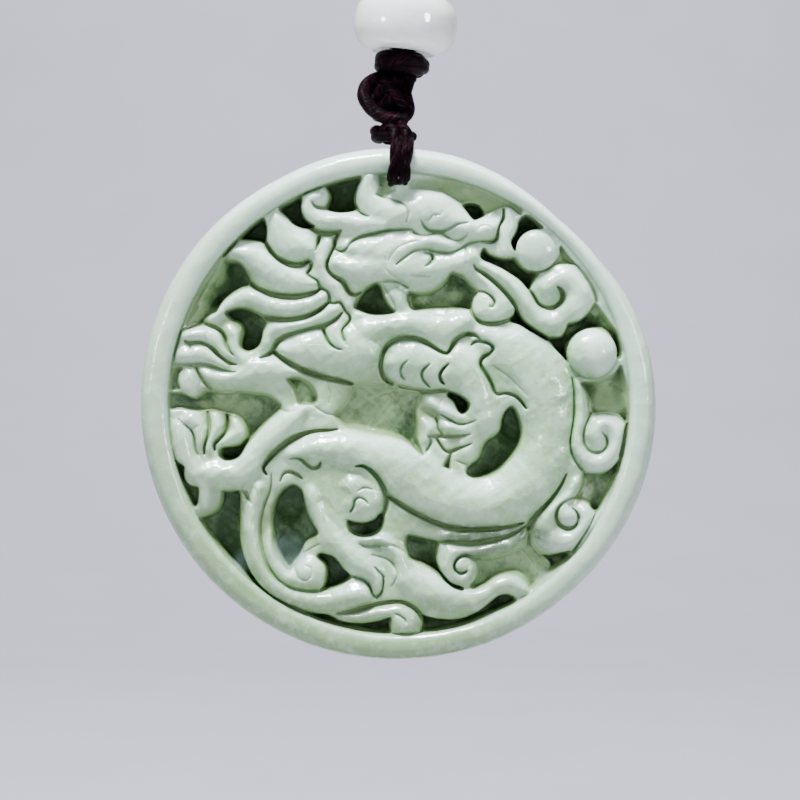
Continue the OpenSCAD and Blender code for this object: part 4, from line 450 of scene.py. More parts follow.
# Pockets: share of the full depth, then the outline
pockets = [
    # between the two horns
    [1, [[-28.5, 84.4], [-23.5, 86.3], [-19, 87.4], [-15.5, 87.5], [-14.5, 86.4], [-15.8, 84], [-16.9, 80.5],
     [-16.9, 77.6], [-16.2, 75.4], [-18.5, 74.2], [-22.5, 73.8], [-26, 74.3], [-28.1, 75.6], [-27, 78.2],
     [-26.8, 80.5], [-27.8, 82.8]]],
    # behind the back horn
    [1, [[-46.2, 75.2], [-42, 77.7], [-38.3, 79.7], [-37.4, 78.6], [-37.8, 75.6], [-37, 72.4], [-34.8, 70],
     [-32.4, 68.4], [-34, 67.5], [-37.5, 67.8], [-40.8, 69.3], [-43, 71.8]]],
    # between the first two locks and the rim
    [1, [[-62, 63.8], [-59, 67], [-55.5, 70.2], [-52.5, 71.4], [-51.4, 69.5], [-51, 66.5], [-51.3, 63.6],
     [-51.8, 62], [-54, 62.7], [-58, 63.2]]],
    # long pocket along the rim at the left
    [0.97, [[-68.8, 57.2], [-65.5, 55.2], [-62, 54.7], [-60, 53], [-58.4, 50], [-57.4, 47.6], [-58.4, 45.6],
     [-61, 44.8], [-64.5, 42.7], [-67.6, 40], [-69.3, 37.4], [-70.4, 35.2], [-72.8, 34.1], [-74.8, 32.2],
     [-75.2, 30.7], [-78, 29.8], [-81, 28.7], [-84.2, 28.8], [-82, 34.2], [-80, 38.8], [-77, 44.5], [-73.6, 50.2],
     [-71, 54.2]]],
    # key-shaped pocket of the upper claw
    [1, [[-67.2, 35], [-64.5, 36.4], [-61.5, 37], [-58, 36.5], [-55, 35.1], [-52.5, 33.4], [-51.6, 31.2],
     [-52.5, 28], [-53, 25], [-54.1, 22.3], [-56, 20.8], [-58.3, 20.1], [-60.3, 20.8], [-61.3, 22.6], [-61, 25],
     [-60.4, 27.6], [-60.9, 30], [-62.4, 31.5], [-64.2, 32.1], [-65.8, 33.3]]],
    # triangle behind the jaw
    [1, [[-17.4, 37], [-16.4, 39.6], [-14.8, 42.2], [-12.4, 44.6], [-10, 46.1], [-8, 46.4], [-6.8, 44.8],
     [-5.8, 41.8], [-4.5, 39], [-3, 36.9], [-1.5, 35.2], [-5, 34.3], [-9.5, 34.2], [-13, 34.9], [-15.8, 36.1]]],
    # under the jaw
    [0.85, [[3.1, 40.6], [3.8, 43], [8, 42.5], [12, 43], [15.6, 45], [18.3, 47.9], [20, 50.3], [22.5, 50.2],
     [25.2, 48.6], [28, 45.6], [30.4, 43], [29, 40.9], [28.2, 38.4], [27.6, 36.3], [23, 36.9], [15, 36.9],
     [9.5, 36.4], [6, 36], [4.2, 37.3]]],
    # in front of the brow
    [1, [[24.6, 76.6], [26.6, 77.5], [30, 77.3], [32.2, 75.7], [33.2, 73.2], [31.5, 71.7], [29.2, 70.8],
     [27.8, 71.9], [26.2, 74.2]]],
    # left of the small pearl
    [1, [[48.2, 72.3], [50.5, 72.2], [54, 69.3], [55.4, 67.6], [52.4, 67.2], [49.2, 66.2], [46.6, 63.6],
     [45.6, 60.6], [45, 58.8], [43.9, 60.2], [43.3, 62.5], [44.6, 65.1], [45.8, 67.8], [46.2, 70.2]]],
    # below the lip, along the upper whisker
    [1, [[31.5, 56.3], [32.6, 59.8], [34.4, 57.9], [37.5, 56.5], [41, 55.8], [44.5, 56], [46.6, 53.4],
     [49.8, 51.2], [53.8, 50.3], [52.4, 48.2], [51.2, 46], [50, 43.9], [47.6, 46.7], [44, 49.6], [39.6, 52.3],
     [35, 54.4]]],
    # between the small pearl and the cloud
    [0.75, [[60.4, 54.3], [61.7, 57.5], [62.2, 60.6], [64, 58.8], [66.2, 56], [67.6, 54], [64, 54.3]]],
    # right of the whisker's curl, along the body
    [1, [[45.2, 37.3], [46.6, 34.4], [48.4, 32.1], [51, 30], [54, 27.8], [57, 26], [60, 23.4], [56.4, 24.6],
     [53, 26.6], [50, 28.2], [46.8, 30.2], [42.5, 32.2], [44.4, 34.4]]],
    # round the large pearl
    [0.9, [[57.6, 25.2], [62.2, 25.6], [64, 27.6], [65.3, 30.6], [68, 31.2], [70.8, 32.8], [73.4, 35.8],
     [75.6, 38.8], [78, 35.8], [80.6, 32], [83.4, 28.4], [84.6, 24.8], [85.6, 20], [85.2, 17.4], [83.9, 18.2],
     [83.2, 22.6], [81.2, 26.6], [78.2, 28.9], [74.6, 29.3], [70.8, 28.2], [67.4, 25.9], [65.1, 22.7],
     [64.5, 19.5], [65.4, 15.6], [63, 18.3], [60, 21.6]]],
    # below the large pearl
    [0.8, [[84, 12.6], [85.4, 14.6], [86.5, 11.8], [87.6, 7], [88.3, 2], [88.6, -3.8], [88, -7.8], [85.2, -5.2],
     [82, -4.1], [78.6, -3.7], [74.4, -3.9], [73.8, -1], [72.9, 2.4], [71.4, 5.6], [70, 8], [73.4, 8], [77, 8.4],
     [80, 9.4], [82.4, 10.9]]],
    # below the right cloud
    [0.8, [[71.3, -26.9], [74.6, -27], [78.6, -26.7], [81.8, -25], [84, -22.6], [85.6, -20.4], [84.8, -25],
     [82.4, -30.4], [80, -35], [78, -39], [76.4, -41.5], [74.4, -40.6], [73.2, -38.6], [70.8, -37.1],
     [68.5, -35.9], [69.5, -33.6], [71, -29.6]]],
    # round the upper claw's last finger, at the rim
    [0.5, [[-87.6, 14.2], [-83.4, 13.8], [-84.8, 11.2], [-85.1, 8], [-84.3, 5.6], [-86, 5], [-88.2, 5.4],
     [-88.3, 9.5]]],
    # between the two left claws
    [0.68, [[-88.6, 3.9], [-86, 4.2], [-83.4, 3.9], [-80.6, 2.6], [-78.4, 2.1], [-76.4, 3.4], [-74.2, 5.1],
     [-70, 4.6], [-66, 4.3], [-62, 4.6], [-57, 4], [-52, 3.6], [-48.6, 2], [-46.2, 0], [-45.6, -1.6], [-48, -4],
     [-51.5, -7.2], [-54.6, -10.8], [-57.4, -14.4], [-60, -17.8], [-62.4, -20.5], [-66.4, -22.1], [-69.2, -20.6],
     [-69.5, -18.2], [-67.4, -17], [-63.4, -16.1], [-60.5, -14.9], [-58.8, -12], [-59.2, -9], [-60.8, -6.3],
     [-63.2, -4.6], [-66, -4.2], [-69, -3.2], [-72, -2.6], [-76, -2.9], [-80, -2.3], [-84.5, -1.8], [-88.6, -1.8]]],
    # beside the forearm
    [0.7, [[-43.4, 9.2], [-41.4, 10], [-38.6, 9.9], [-36, 9], [-33.8, 7], [-32.2, 4.6], [-31.5, 1.6], [-33, -0.2],
     [-37.6, -0.6], [-39.2, 0.6], [-39.6, 3.2], [-40.9, 6.3]]],
    # ground inside the upper bend of the body
    [0.56, [[-18.1, 7.4], [-12, 7.6], [-6, 7.1], [-1.6, 6.6], [3, 5.7], [8.2, 4.5], [7.5, 1], [6.7, -2.4],
     [7.1, -7], [7.1, -10.5], [7, -13], [8.2, -16.6], [9.6, -20], [7.4, -18.7], [4, -15.4], [0, -12.7],
     [-4, -11.8], [-9, -10.4], [-14, -9.4], [-18.4, -9.1], [-21.2, -8.4], [-23.2, -6.4], [-25.2, -4.3],
     [-22.8, -2.1], [-20.4, 0], [-19, 3]]],
    # small hole by the right claw
    [1, [[18.6, 3], [19.5, 4.5], [22, 3.9], [25, 2.3], [27, 0.2], [26.8, -1.8], [25.8, -3.3], [24.3, -4],
     [22.9, -3], [22, -1], [21, 0.8]]],
    # inside the right bend of the body
    [0.92, [[43.3, -1], [44.9, -2.4], [46.2, -5.2], [47.1, -8.6], [47.3, -12], [46.4, -15.6], [44.6, -19],
     [42.4, -21.8], [39.4, -24.8], [36, -27], [33, -28.2], [30, -28.7], [27.4, -28.2], [26, -26.8], [26.4, -24.8],
     [28, -23.2], [30, -21.8], [31.5, -19.4], [32.6, -16.4], [34.2, -14], [36.6, -12.6], [38.5, -11],
     [39.3, -8.8], [39.8, -5.8], [41, -3]]],
    # by the lower claw's palm, at the rim
    [0.75, [[-86.2, -22.2], [-84, -23.4], [-82.6, -24.4], [-82.8, -27.4], [-82, -30], [-80, -31.7],
     [-77.3, -32.2], [-77.2, -36], [-77.7, -38.6], [-78.9, -39.8], [-80.8, -36.6], [-82.8, -32.8], [-84.6, -28.4]]],
    # left of the tail
    [0.95, [[-68.2, -34], [-65, -33.9], [-61.4, -34.1], [-61.3, -42], [-61.3, -50], [-60.9, -54.6],
     [-59.8, -58.8], [-58.2, -62.8], [-56.6, -66], [-54, -69.5], [-50.6, -72.8], [-46.5, -75.6], [-47.6, -76.3],
     [-52, -73], [-56, -69.6], [-60, -65.8], [-64, -61.6], [-68, -57], [-72, -52], [-75.6, -47.2], [-77.3, -44.8],
     [-74, -43.3], [-71.4, -42], [-69.6, -40], [-68.6, -37.4]]],
    # large drop inside the tail
    [1, [[-41.5, -31.3], [-39, -32], [-37.2, -34.4], [-36.3, -38.4], [-35.2, -42.4], [-33.2, -46.3],
     [-31.2, -49.8], [-33, -52], [-35.6, -53.8], [-37, -56.4], [-38.2, -59], [-40.2, -61.4], [-42.4, -64],
     [-44.4, -62], [-46.2, -59], [-47.7, -55], [-48.7, -50], [-49.2, -45], [-48.6, -40.4], [-47.2, -36.5],
     [-45, -33.3]]],
    # under the leaf's curl
    [0.9, [[-20.1, -45], [-18, -45.4], [-15, -46], [-12, -45.7], [-9.4, -44.5], [-7.4, -42.4], [-5.9, -42.4],
     [-6, -46], [-7.4, -49], [-10, -50.9], [-14, -51.4], [-17.8, -50.4], [-19.6, -48.4]]],
    # behind the hind foot
    [1, [[-31.6, -59.2], [-30.4, -57.8], [-27.8, -58.3], [-25.4, -59], [-23.4, -61], [-21.4, -63.8],
     [-18.7, -66.8], [-21.6, -69.4], [-25, -71], [-28, -71.9], [-30.2, -72], [-28.9, -70], [-28.1, -67],
     [-28.1, -64], [-29, -61.8]]],
    # long slot above the rim, at the bottom left
    [0.9, [[-36, -80.3], [-32, -81], [-28, -81.4], [-25.4, -82.4], [-23, -83.7], [-20, -84.4], [-16, -84.9],
     [-12, -84.7], [-8, -84], [-5, -83], [-3.2, -82.6], [-3.6, -85.4], [-3.4, -88.2], [-8, -88.4], [-13, -87.9],
     [-18, -87], [-22.6, -85.9], [-27, -84.6], [-32, -83]]],
    # long slot above the rim, at the bottom right
    [0.95, [[8.4, -81.2], [10.4, -82], [13.4, -82.8], [17, -83.3], [21, -83.4], [25, -82.7], [28, -81.5],
     [31, -80], [33.5, -78.2], [36, -76], [38.5, -74.3], [41.2, -73.7], [43.6, -74.3], [45.1, -75.8],
     [43.6, -77.3], [40.6, -78.6], [36.8, -80.2], [32.6, -81.9], [28.8, -83.5], [24.8, -85.1], [20.6, -86.5],
     [16, -87.5], [11.6, -88], [8.4, -87.9], [9, -85.6], [9, -83.2]]],
    # between the two lower curls
    [0.85, [[3.2, -50.8], [6.2, -51.1], [10, -52], [13.4, -52.7], [15.2, -53.6], [14.8, -57], [14.6, -60.6],
     [15.8, -63.8], [18, -67], [20.6, -69.4], [24.6, -70.9], [24, -71.8], [20.8, -70.6], [18, -68.5], [15.4, -66],
     [12, -63.5], [9, -61.9], [5.6, -60.8], [3.8, -59.4], [3, -57], [2.4, -54]]],
    # ground below the fins
    [0.62, [[30.2, -60.4], [34.4, -59.9], [38.4, -59], [42.4, -57.7], [46.2, -56.2], [48.4, -54.8], [49.2, -51.4],
     [50.3, -48], [51, -50.4], [51.4, -53.6], [53, -56.4], [55.4, -58], [59, -58.3], [62.4, -57.5], [66.4, -57],
     [64.6, -59.8], [61.4, -62.8], [57.6, -66], [53.6, -69.2], [50.8, -71.4], [49.2, -68.4], [47.3, -66.2],
     [45, -65], [42, -65], [39, -66], [36.4, -67.4], [34, -69.4], [31.2, -71], [28.6, -71.5], [27.5, -70.3],
     [29.3, -68], [30.4, -65.4], [30.6, -62.6]]],
    # shallow ground under the fingertips
    [0.3, [[8.4, -2], [12, -1.9], [15.6, -3.7], [14.4, -5.2], [12, -5.2], [9.6, -4]]],
    # between the spur and the claw
    [0.5, [[20.3, -18.9], [18.9, -20.4], [17.8, -22.2], [17, -24.2], [18.2, -25], [19.7, -25.6], [19.9, -22.6]]],
    # beside the cord hole
    [0.42, [[-7.6, 87.6], [-4.4, 88.2], [-1, 83], [-3, 81.4], [-4.8, 79.4], [-7.4, 79.4], [-8.6, 81], [-7.7, 83.8]]],
    # slope above the brow, along the rim
    [0.36, [[4.6, 86.4], [12, 86.8], [19, 86.6], [24, 85.4], [29, 84], [34, 82], [39, 79.6], [44, 76.8],
     [47.6, 74.4], [46.6, 72.6], [43, 75.2], [39.6, 75.6], [36.2, 74.4], [33.8, 73.6], [32.4, 76.4], [30.2, 78],
     [26.4, 78], [24, 77.4], [20.4, 79.4], [15.6, 81.3], [8.6, 82.2], [3.4, 82.6]]],
]

# Cut lines: share of the full depth, then points with the half width of the cut
lines = [
    # horns and brow
    [0.7, [[-33.6, 77.6, 0.4], [-32.4, 76, 0.6], [-30.4, 75.3, 0.6], [-28, 75.3, 0.7]]],
    [0.8, [[-38.4, 79.9, 0.6], [-34, 82, 0.7], [-29, 84.2, 0.7]]],
    [0.7, [[-16.3, 75.4, 0.6], [-15, 73.6, 0.6], [-13, 72.4, 0.5], [-11.4, 72, 0.2]]],
    [1.1, [[-34, 67.6, 0.6], [-31, 66.2, 0.9], [-27.6, 65.6, 0.9], [-24, 66, 0.7], [-22.4, 66.6, 0.4]]],
    [0.9, [[-30.6, 65.4, 0.6], [-31.2, 62, 0.7], [-32.2, 58.8, 0.3]]],
    [1, [[-23, 66, 0.5], [-24.6, 63.4, 0.8], [-25, 60.6, 0.7], [-26.6, 57.4, 0.7], [-27.8, 54, 0.7],
     [-27.4, 51.2, 0.7], [-25, 48.8, 0.8], [-22, 47.2, 0.9], [-20.6, 45, 0.8], [-19.2, 42.8, 0.8], [-17, 42, 0.6],
     [-14.8, 42.8, 0.4]]],
    [0.8, [[-24.4, 59.4, 0.4], [-22.4, 58.6, 0.5], [-20.4, 59.4, 0.6], [-18.4, 62, 0.7], [-15, 64, 0.7],
     [-10, 65.3, 0.6], [-5, 66.4, 0.6], [0, 66.8, 0.5], [4.4, 67, 0.3]]],
    [0.6, [[-8.6, 80.4, 0.7], [-5, 79, 0.6], [0, 77.6, 0.5], [2.8, 75.4, 0.4], [3.6, 72.6, 0.4], [2.8, 69.6, 0.3]]],
    [0.6, [[4.6, 67.2, 0.3], [6.6, 65.3, 0.5], [10, 64.6, 0.5], [14, 65.6, 0.5], [16.4, 65.6, 0.6],
     [18.6, 64, 0.5], [20.6, 62.9, 0.4], [23, 62.8, 0.4], [25.4, 64, 0.4], [26.6, 65.6, 0.2]]],
    [0.8, [[8.6, 70.2, 0.4], [9.8, 68, 0.6], [12, 66.5, 0.6], [16, 66.2, 0.7], [19, 67, 0.6], [22.4, 68.8, 0.5],
     [26.6, 69.6, 0.2]]],
    [0.5, [[9.4, 70, 0.3], [11.6, 70.6, 0.4], [13, 72.2, 0.4], [15.8, 72.4, 0.2]]],
    [1, [[31.6, 62.4, 0.4], [35.4, 62.2, 0.7], [37.6, 63.4, 0.7], [38.2, 66.4, 0.6], [39, 69, 0.6],
     [40.3, 71.4, 0.6], [40.4, 75, 0.4]]],
    [0.7, [[-1, 53.4, 0.5], [2, 56, 0.6], [5.6, 58.5, 0.6], [10, 59.2, 0.5], [14, 58.4, 0.5], [19, 57.9, 0.5],
     [23, 59.2, 0.5], [27, 61.5, 0.5], [31, 62.4, 0.5]]],
    [0.5, [[-1, 59.4, 0.2], [3, 61.4, 0.3], [6.4, 62.3, 0.2]]],
    [0.8, [[9.8, 58, 0.2], [12.4, 57.4, 0.6], [12.9, 55.4, 0.8], [11.6, 53.8, 0.7], [10.2, 52.8, 0.3]]],
    [0.5, [[25.4, 60.8, 0.3], [25.8, 57, 0.4], [25.9, 53.4, 0.3]]],
    [0.5, [[4.2, 48.9, 0.2], [8, 49, 0.4], [12, 48.8, 0.3]]],
    [0.7, [[3.4, 44.6, 0.4], [0, 46.4, 0.5], [-4, 47, 0.6], [-7, 46.4, 0.4]]],
    [1, [[28.8, 53.4, 0.3], [30, 51.6, 0.5], [33, 49.8, 0.9], [36.6, 46.9, 0.9], [40, 43.6, 0.9], [43, 40.2, 0.9],
     [45, 37.3, 0.8]]],
    [0.8, [[30.6, 43.3, 0.5], [33.2, 42.8, 0.6], [35.6, 41, 0.7], [36.8, 39, 0.7], [36, 37.4, 0.5],
     [34.8, 37.4, 0.3]]],
    [1, [[27.8, 36, 0.6], [28.8, 33.8, 0.7], [30.8, 31.8, 0.8], [33.6, 30.8, 0.8], [37, 30.7, 0.9],
     [40, 31.4, 0.8], [42.6, 32.4, 0.6]]],
    [1, [[50.4, 43.8, 0.4], [52.2, 41, 0.6], [53.8, 38.4, 0.7], [56.4, 37, 0.7], [59.4, 36.9, 0.8],
     [61.8, 38.4, 0.9], [63.2, 40.8, 0.9], [62.7, 43.2, 0.9], [61, 44.9, 0.4]]],
    [0.8, [[53.6, 50.6, 0.6], [57, 52, 0.7], [60, 54, 0.7], [64, 54.2, 0.6], [68, 53.6, 0.6], [70.6, 50.6, 0.6],
     [73.2, 46.8, 0.7], [75.2, 43, 0.8], [76.2, 39.4, 0.8]]],
    # mane locks and neck fringe
    [0.9, [[-62.4, 63.6, 0.6], [-65, 60, 0.8], [-68.6, 57, 0.7]]],
    [1.2, [[-51.6, 62.4, 0.6], [-50, 59.4, 0.9], [-47.6, 56.7, 1], [-44.6, 54.7, 1.1], [-41, 53.4, 1.1],
     [-37.6, 53.6, 1], [-35, 54.8, 0.7]]],
    [0.8, [[-35, 55.2, 0.5], [-33.8, 53.8, 0.7], [-34.4, 51.6, 0.7], [-35.4, 50, 0.6], [-33.6, 48.5, 0.6],
     [-31.4, 47.2, 0.7], [-30.6, 45, 0.7], [-29, 44, 0.6], [-27.4, 43, 0.7], [-26.8, 41, 0.7], [-27, 39.2, 0.6],
     [-25, 38.6, 0.6], [-23, 39.1, 0.6], [-21.8, 37.8, 0.6], [-20.6, 35.6, 0.5], [-19.2, 34, 0.5],
     [-18.9, 32.2, 0.6], [-20.4, 30.2, 0.6], [-21.8, 28.4, 0.6], [-21.6, 26, 0.7], [-20.8, 24, 0.7],
     [-20.2, 22.6, 0.3]]],
    [1.2, [[-58, 47.4, 0.7], [-56, 45.2, 0.9], [-53, 43.5, 1], [-49, 42, 1.1], [-44, 41.2, 1.2], [-39, 41.2, 1.2],
     [-35, 42, 1], [-32, 43, 0.7], [-30.4, 44.2, 0.5]]],
    [1.2, [[-52.6, 33.2, 0.7], [-49, 32.7, 0.9], [-45, 32.3, 0.9], [-41, 32.4, 0.9], [-37, 33.1, 0.9],
     [-33, 34.6, 0.9], [-30, 36.4, 0.8], [-27.4, 38.8, 0.6]]],
    [0.9, [[-53.4, 17.6, 0.4], [-50.6, 18.8, 0.7], [-48.6, 20.6, 1], [-47.2, 23.4, 1], [-44.6, 25.6, 0.9],
     [-41, 26.9, 0.7], [-37, 28.1, 0.7], [-33, 29.2, 0.7], [-29, 29.9, 0.8], [-26, 31.3, 0.7], [-23.6, 33.2, 0.6],
     [-21.9, 35, 0.4]]],
    [0.8, [[-29.4, 29.6, 0.7], [-28.6, 27, 0.7], [-27.4, 24.2, 0.7], [-25.6, 22.2, 0.6], [-23.4, 21, 0.5],
     [-22, 20.8, 0.2]]],
    # upper bend of the body, thigh and ribs
    [1.2, [[-48.6, 20.2, 0.7], [-46, 18, 1], [-42, 15.4, 1.1], [-38, 13.2, 1.2], [-33, 11.4, 1.1], [-28, 9.9, 1],
     [-23, 8.8, 0.9], [-18, 7.6, 0.6]]],
    [1, [[-2.4, 7.6, 0.5], [-4.6, 8.8, 0.8], [-6.2, 11, 0.9], [-6.9, 14, 0.9], [-6.7, 17.4, 0.9],
     [-5.6, 20.6, 0.9], [-3.6, 23, 0.9], [-0.6, 24.6, 0.9], [3.4, 25.3, 0.9], [7, 24.9, 0.9], [10.6, 23.3, 0.9],
     [13.8, 21.3, 0.9], [16.4, 19.8, 0.8], [18.6, 19.4, 0.8], [20, 21.2, 0.8], [21.4, 23.8, 0.9],
     [23.6, 25.8, 0.8], [26.6, 26.8, 0.8], [29.4, 26.2, 0.7], [31.4, 24.4, 0.4]]],
    [0.9, [[27.8, 22.4, 0.3], [29.2, 23.7, 0.6], [32, 23.9, 0.7], [35, 22.8, 0.7], [36.2, 21.2, 0.7],
     [35, 19.4, 0.7], [32.6, 18, 0.8], [31.4, 16, 0.8], [31.9, 13.6, 0.9], [33.8, 10.8, 0.9], [35.6, 7.6, 0.8],
     [36.6, 4.8, 0.8], [38, 3.6, 0.7], [41, 4, 0.6], [44.4, 3.2, 0.7], [47, 1, 0.7], [49, -2, 0.4]]],
    [0.4, [[36, 14.6, 0.2], [40.6, 11.6, 0.4], [45, 7.6, 0.3], [49, 3, 0.2]]],
    [0.7, [[3.4, 16.6, 0.2], [1.4, 14.8, 0.5], [0.6, 12.6, 0.5], [1, 10.6, 0.5], [2.4, 9, 0.2]]],
    [0.8, [[11.8, 15.2, 0.3], [9.6, 13.2, 0.6], [8.7, 11.2, 0.6], [9.4, 9, 0.6], [11, 7.2, 0.5], [12, 6, 0.2]]],
    [1, [[19, 15.2, 0.3], [16.8, 13, 0.6], [15.7, 10.8, 0.7], [16.2, 8.8, 0.7], [17.3, 7.5, 0.4]]],
    [0.9, [[0, 6.6, 0.4], [4, 5.4, 0.6], [8.4, 4.7, 0.7], [12.4, 4.5, 0.6], [16, 4.9, 0.7], [19, 4.8, 0.6]]],
    # left fingers, upper claw
    [0.9, [[-75.4, 31, 0.6], [-73, 30.2, 0.8], [-70.6, 29.2, 0.8], [-68.4, 27.4, 0.8], [-67.2, 25, 0.8],
     [-66.6, 22.6, 0.7], [-65.4, 20.4, 0.6], [-63.8, 18.6, 0.3]]],
    [0.9, [[-82.4, 24, 0.5], [-80.4, 23.2, 0.7], [-77.4, 23.6, 0.6], [-74.4, 22.7, 0.7], [-72, 21.2, 0.8],
     [-69.8, 18.9, 0.8], [-67, 16.6, 0.7], [-64.6, 15.4, 0.5], [-62.6, 15, 0.2]]],
    [0.5, [[-80.6, 22.6, 0.5], [-80, 20, 0.4], [-79.8, 17.4, 0.2]]],
    [0.7, [[-87.4, 15, 0.6], [-83, 14.9, 0.6], [-79, 14.9, 0.7], [-75, 15, 0.6], [-71.4, 14.1, 0.6],
     [-68, 12.9, 0.6], [-65, 12.2, 0.5], [-62.8, 12.1, 0.2]]],
    [0.8, [[-78.6, 14.6, 0.5], [-77.2, 11.8, 0.6], [-75.4, 8.9, 0.6], [-73.4, 6.4, 0.6], [-72.4, 5, 0.5]]],
    [0.7, [[-88.4, 14, 0.8], [-87, 19, 0.7], [-85.8, 23.6, 0.8], [-84.4, 28, 0.8]]],
    # left fingers, lower claw
    [1, [[-66.6, -4.4, 0.6], [-66.2, -7, 0.7], [-66.5, -9.6, 0.8], [-67.8, -12, 0.8], [-69.6, -14, 0.8],
     [-71.2, -15.8, 0.6], [-71, -18, 0.3]]],
    [0.9, [[-74, -3.2, 0.5], [-73.3, -7, 0.6], [-73.3, -11, 0.7], [-74.2, -14, 0.7], [-75, -16.8, 0.7],
     [-75, -19.4, 0.4]]],
    [0.6, [[-85.2, -6, 0.3], [-82.6, -8.1, 0.5], [-80.2, -10.3, 0.5], [-79, -12.6, 0.6], [-78.6, -15.4, 0.7],
     [-78.2, -18, 0.6], [-77.2, -20.2, 0.2]]],
    [0.4, [[-80, -9.8, 0.2], [-78.4, -9.2, 0.3], [-77, -8.4, 0.1]]],
    [0.7, [[-89, -2.4, 0.6], [-88.8, -8, 0.5], [-88.3, -14, 0.5], [-87.3, -19, 0.5], [-86.2, -22.4, 0.6]]],
    [0.6, [[-61, -34, 0.6], [-59, -34.4, 0.7], [-58, -36.6, 0.6], [-56.8, -38.6, 0.3]]],
    # lower bend and leg
    [1.2, [[-51, -27.4, 0.3], [-52.4, -25, 0.5], [-50.4, -21.6, 1], [-47, -18, 1.1], [-43, -14.9, 1.1],
     [-39, -12.7, 1], [-35, -11.2, 0.8], [-31, -10.5, 0.7], [-27, -10.3, 0.6], [-23.6, -9.9, 0.2]]],
    [0.8, [[-42, -21.4, 0.4], [-40, -21.1, 0.6], [-38, -21.5, 0.7], [-36.2, -22.9, 0.7], [-34.6, -24.4, 0.7],
     [-32.8, -25, 0.7], [-31, -24.4, 0.7], [-30.2, -22.6, 0.3]]],
    [0.8, [[-45.8, -30, 0.2], [-45, -27.8, 0.4], [-43.4, -26.4, 0.6], [-41, -26.6, 0.7], [-38.8, -27.7, 0.6],
     [-37.2, -29.1, 0.2]]],
    [1, [[-16.8, -24.2, 0.3], [-14, -24, 0.7], [-11.4, -25.4, 0.9], [-8.8, -27.8, 1], [-6.8, -30.8, 1],
     [-5.5, -34, 1], [-5, -37.4, 1], [-5.4, -40.6, 0.9], [-6.4, -43, 0.8]]],
    [0.6, [[-15.8, -33.6, 0.2], [-14, -32.5, 0.4], [-12, -32.4, 0.4], [-10.2, -33.2, 0.2]]],
    [0.7, [[-11.8, -38.6, 0.2], [-13, -37, 0.4], [-15.2, -36.1, 0.5], [-17, -37.2, 0.6], [-17.4, -39.6, 0.7],
     [-18.6, -41.6, 0.5]]],
    [1.2, [[-4.8, -35.4, 0.6], [-2, -37.2, 0.9], [2, -39.8, 1], [6, -42.1, 1], [10, -44.2, 1], [14, -45.9, 1],
     [18, -47.3, 0.9], [23, -48.2, 0.8], [28, -48.5, 0.6], [34, -48.4, 0.6], [39, -48, 0.6], [44, -47.2, 0.5],
     [48, -46, 0.3]]],
    [0.6, [[-49.3, -27, 0.2], [-49.2, -30.6, 0.4], [-50, -34.4, 0.5], [-51.6, -38, 0.5], [-53, -43, 0.5],
     [-53.6, -49, 0.5], [-53, -55, 0.6], [-51.8, -59.6, 0.7], [-50, -63.6, 0.8], [-47.4, -67, 0.9],
     [-44.4, -69.4, 0.8], [-41, -71.1, 0.7], [-37, -72.1, 0.7], [-33, -72.4, 0.7], [-29.8, -72.2, 0.7]]],
    [0.8, [[-18.8, -66.6, 0.5], [-16, -67.2, 0.5], [-13.8, -68, 0.6], [-12, -69.5, 0.6], [-10.9, -71.5, 0.6],
     [-10.2, -73.6, 0.6], [-8.8, -74.6, 0.6], [-7.2, -73.4, 0.5], [-6.2, -71, 0.4], [-6, -68, 0.4],
     [-6.4, -66.2, 0.2]]],
    [0.8, [[-5.6, -66.8, 0.2], [-7.4, -65, 0.4], [-9.4, -62.8, 0.2]]],
    [0.5, [[-15.4, -54, 0.2], [-13, -55, 0.5], [-9.6, -55.1, 0.6], [-6, -54.6, 0.6], [-2.8, -54.5, 0.6],
     [0.4, -56, 0.5], [2.8, -57.6, 0.4]]],
    [0.5, [[-10.6, -58.3, 0.2], [-7.6, -58.9, 0.4], [-4.6, -59.9, 0.5], [-2.6, -61.4, 0.5], [-1.2, -63.8, 0.4],
     [-0.8, -66.4, 0.4], [-2, -69, 0.3], [-3, -70.6, 0.1]]],
    [0.9, [[-46.4, -76, 0.8], [-43, -78, 0.9], [-39.4, -79.6, 1], [-35.6, -81, 0.9]]],
    [1.1, [[-24, -81, 0.2], [-20, -80.5, 0.7], [-15.6, -79.5, 0.8], [-11.4, -78.3, 0.8], [-7, -77.1, 0.8],
     [-2.6, -76.5, 0.8], [1.6, -76.7, 0.8], [5, -78.3, 0.8], [7.6, -80.6, 0.8], [8.9, -83, 0.7]]],
    [0.5, [[-3, -89, 0.5], [1, -88.8, 0.5], [5, -88.8, 0.5], [8.6, -88.2, 0.5]]],
    [0.6, [[-1.6, -80.8, 0.2], [0.6, -81.6, 0.5], [2.4, -83, 0.5], [2.8, -84.4, 0.2]]],
    # fins and curls at the lower right
    [1, [[15, -53.3, 0.5], [19.6, -53.2, 0.5], [24.2, -53.7, 0.6], [29, -53.7, 0.7], [34, -53, 0.7],
     [38.6, -52.1, 0.6], [43, -50.6, 0.6], [46.6, -48.8, 0.4], [49.6, -46.6, 0.2]]],
    [0.9, [[31, -60.1, 0.5], [29, -59.8, 0.6], [27, -58.8, 0.6], [24.6, -58.6, 0.6], [22.4, -59.9, 0.6],
     [21.3, -62.2, 0.6], [21.8, -64.3, 0.6], [23.6, -65.3, 0.6], [25.4, -65, 0.5], [26.2, -64.2, 0.2]]],
    [1.1, [[64.4, -27, 0.2], [63, -30.3, 0.4], [61, -33.6, 0.5], [58.6, -36.8, 0.6], [56, -39.8, 0.8],
     [53.4, -42.5, 1], [51.4, -45.2, 1.2], [50.2, -48, 1.1]]],
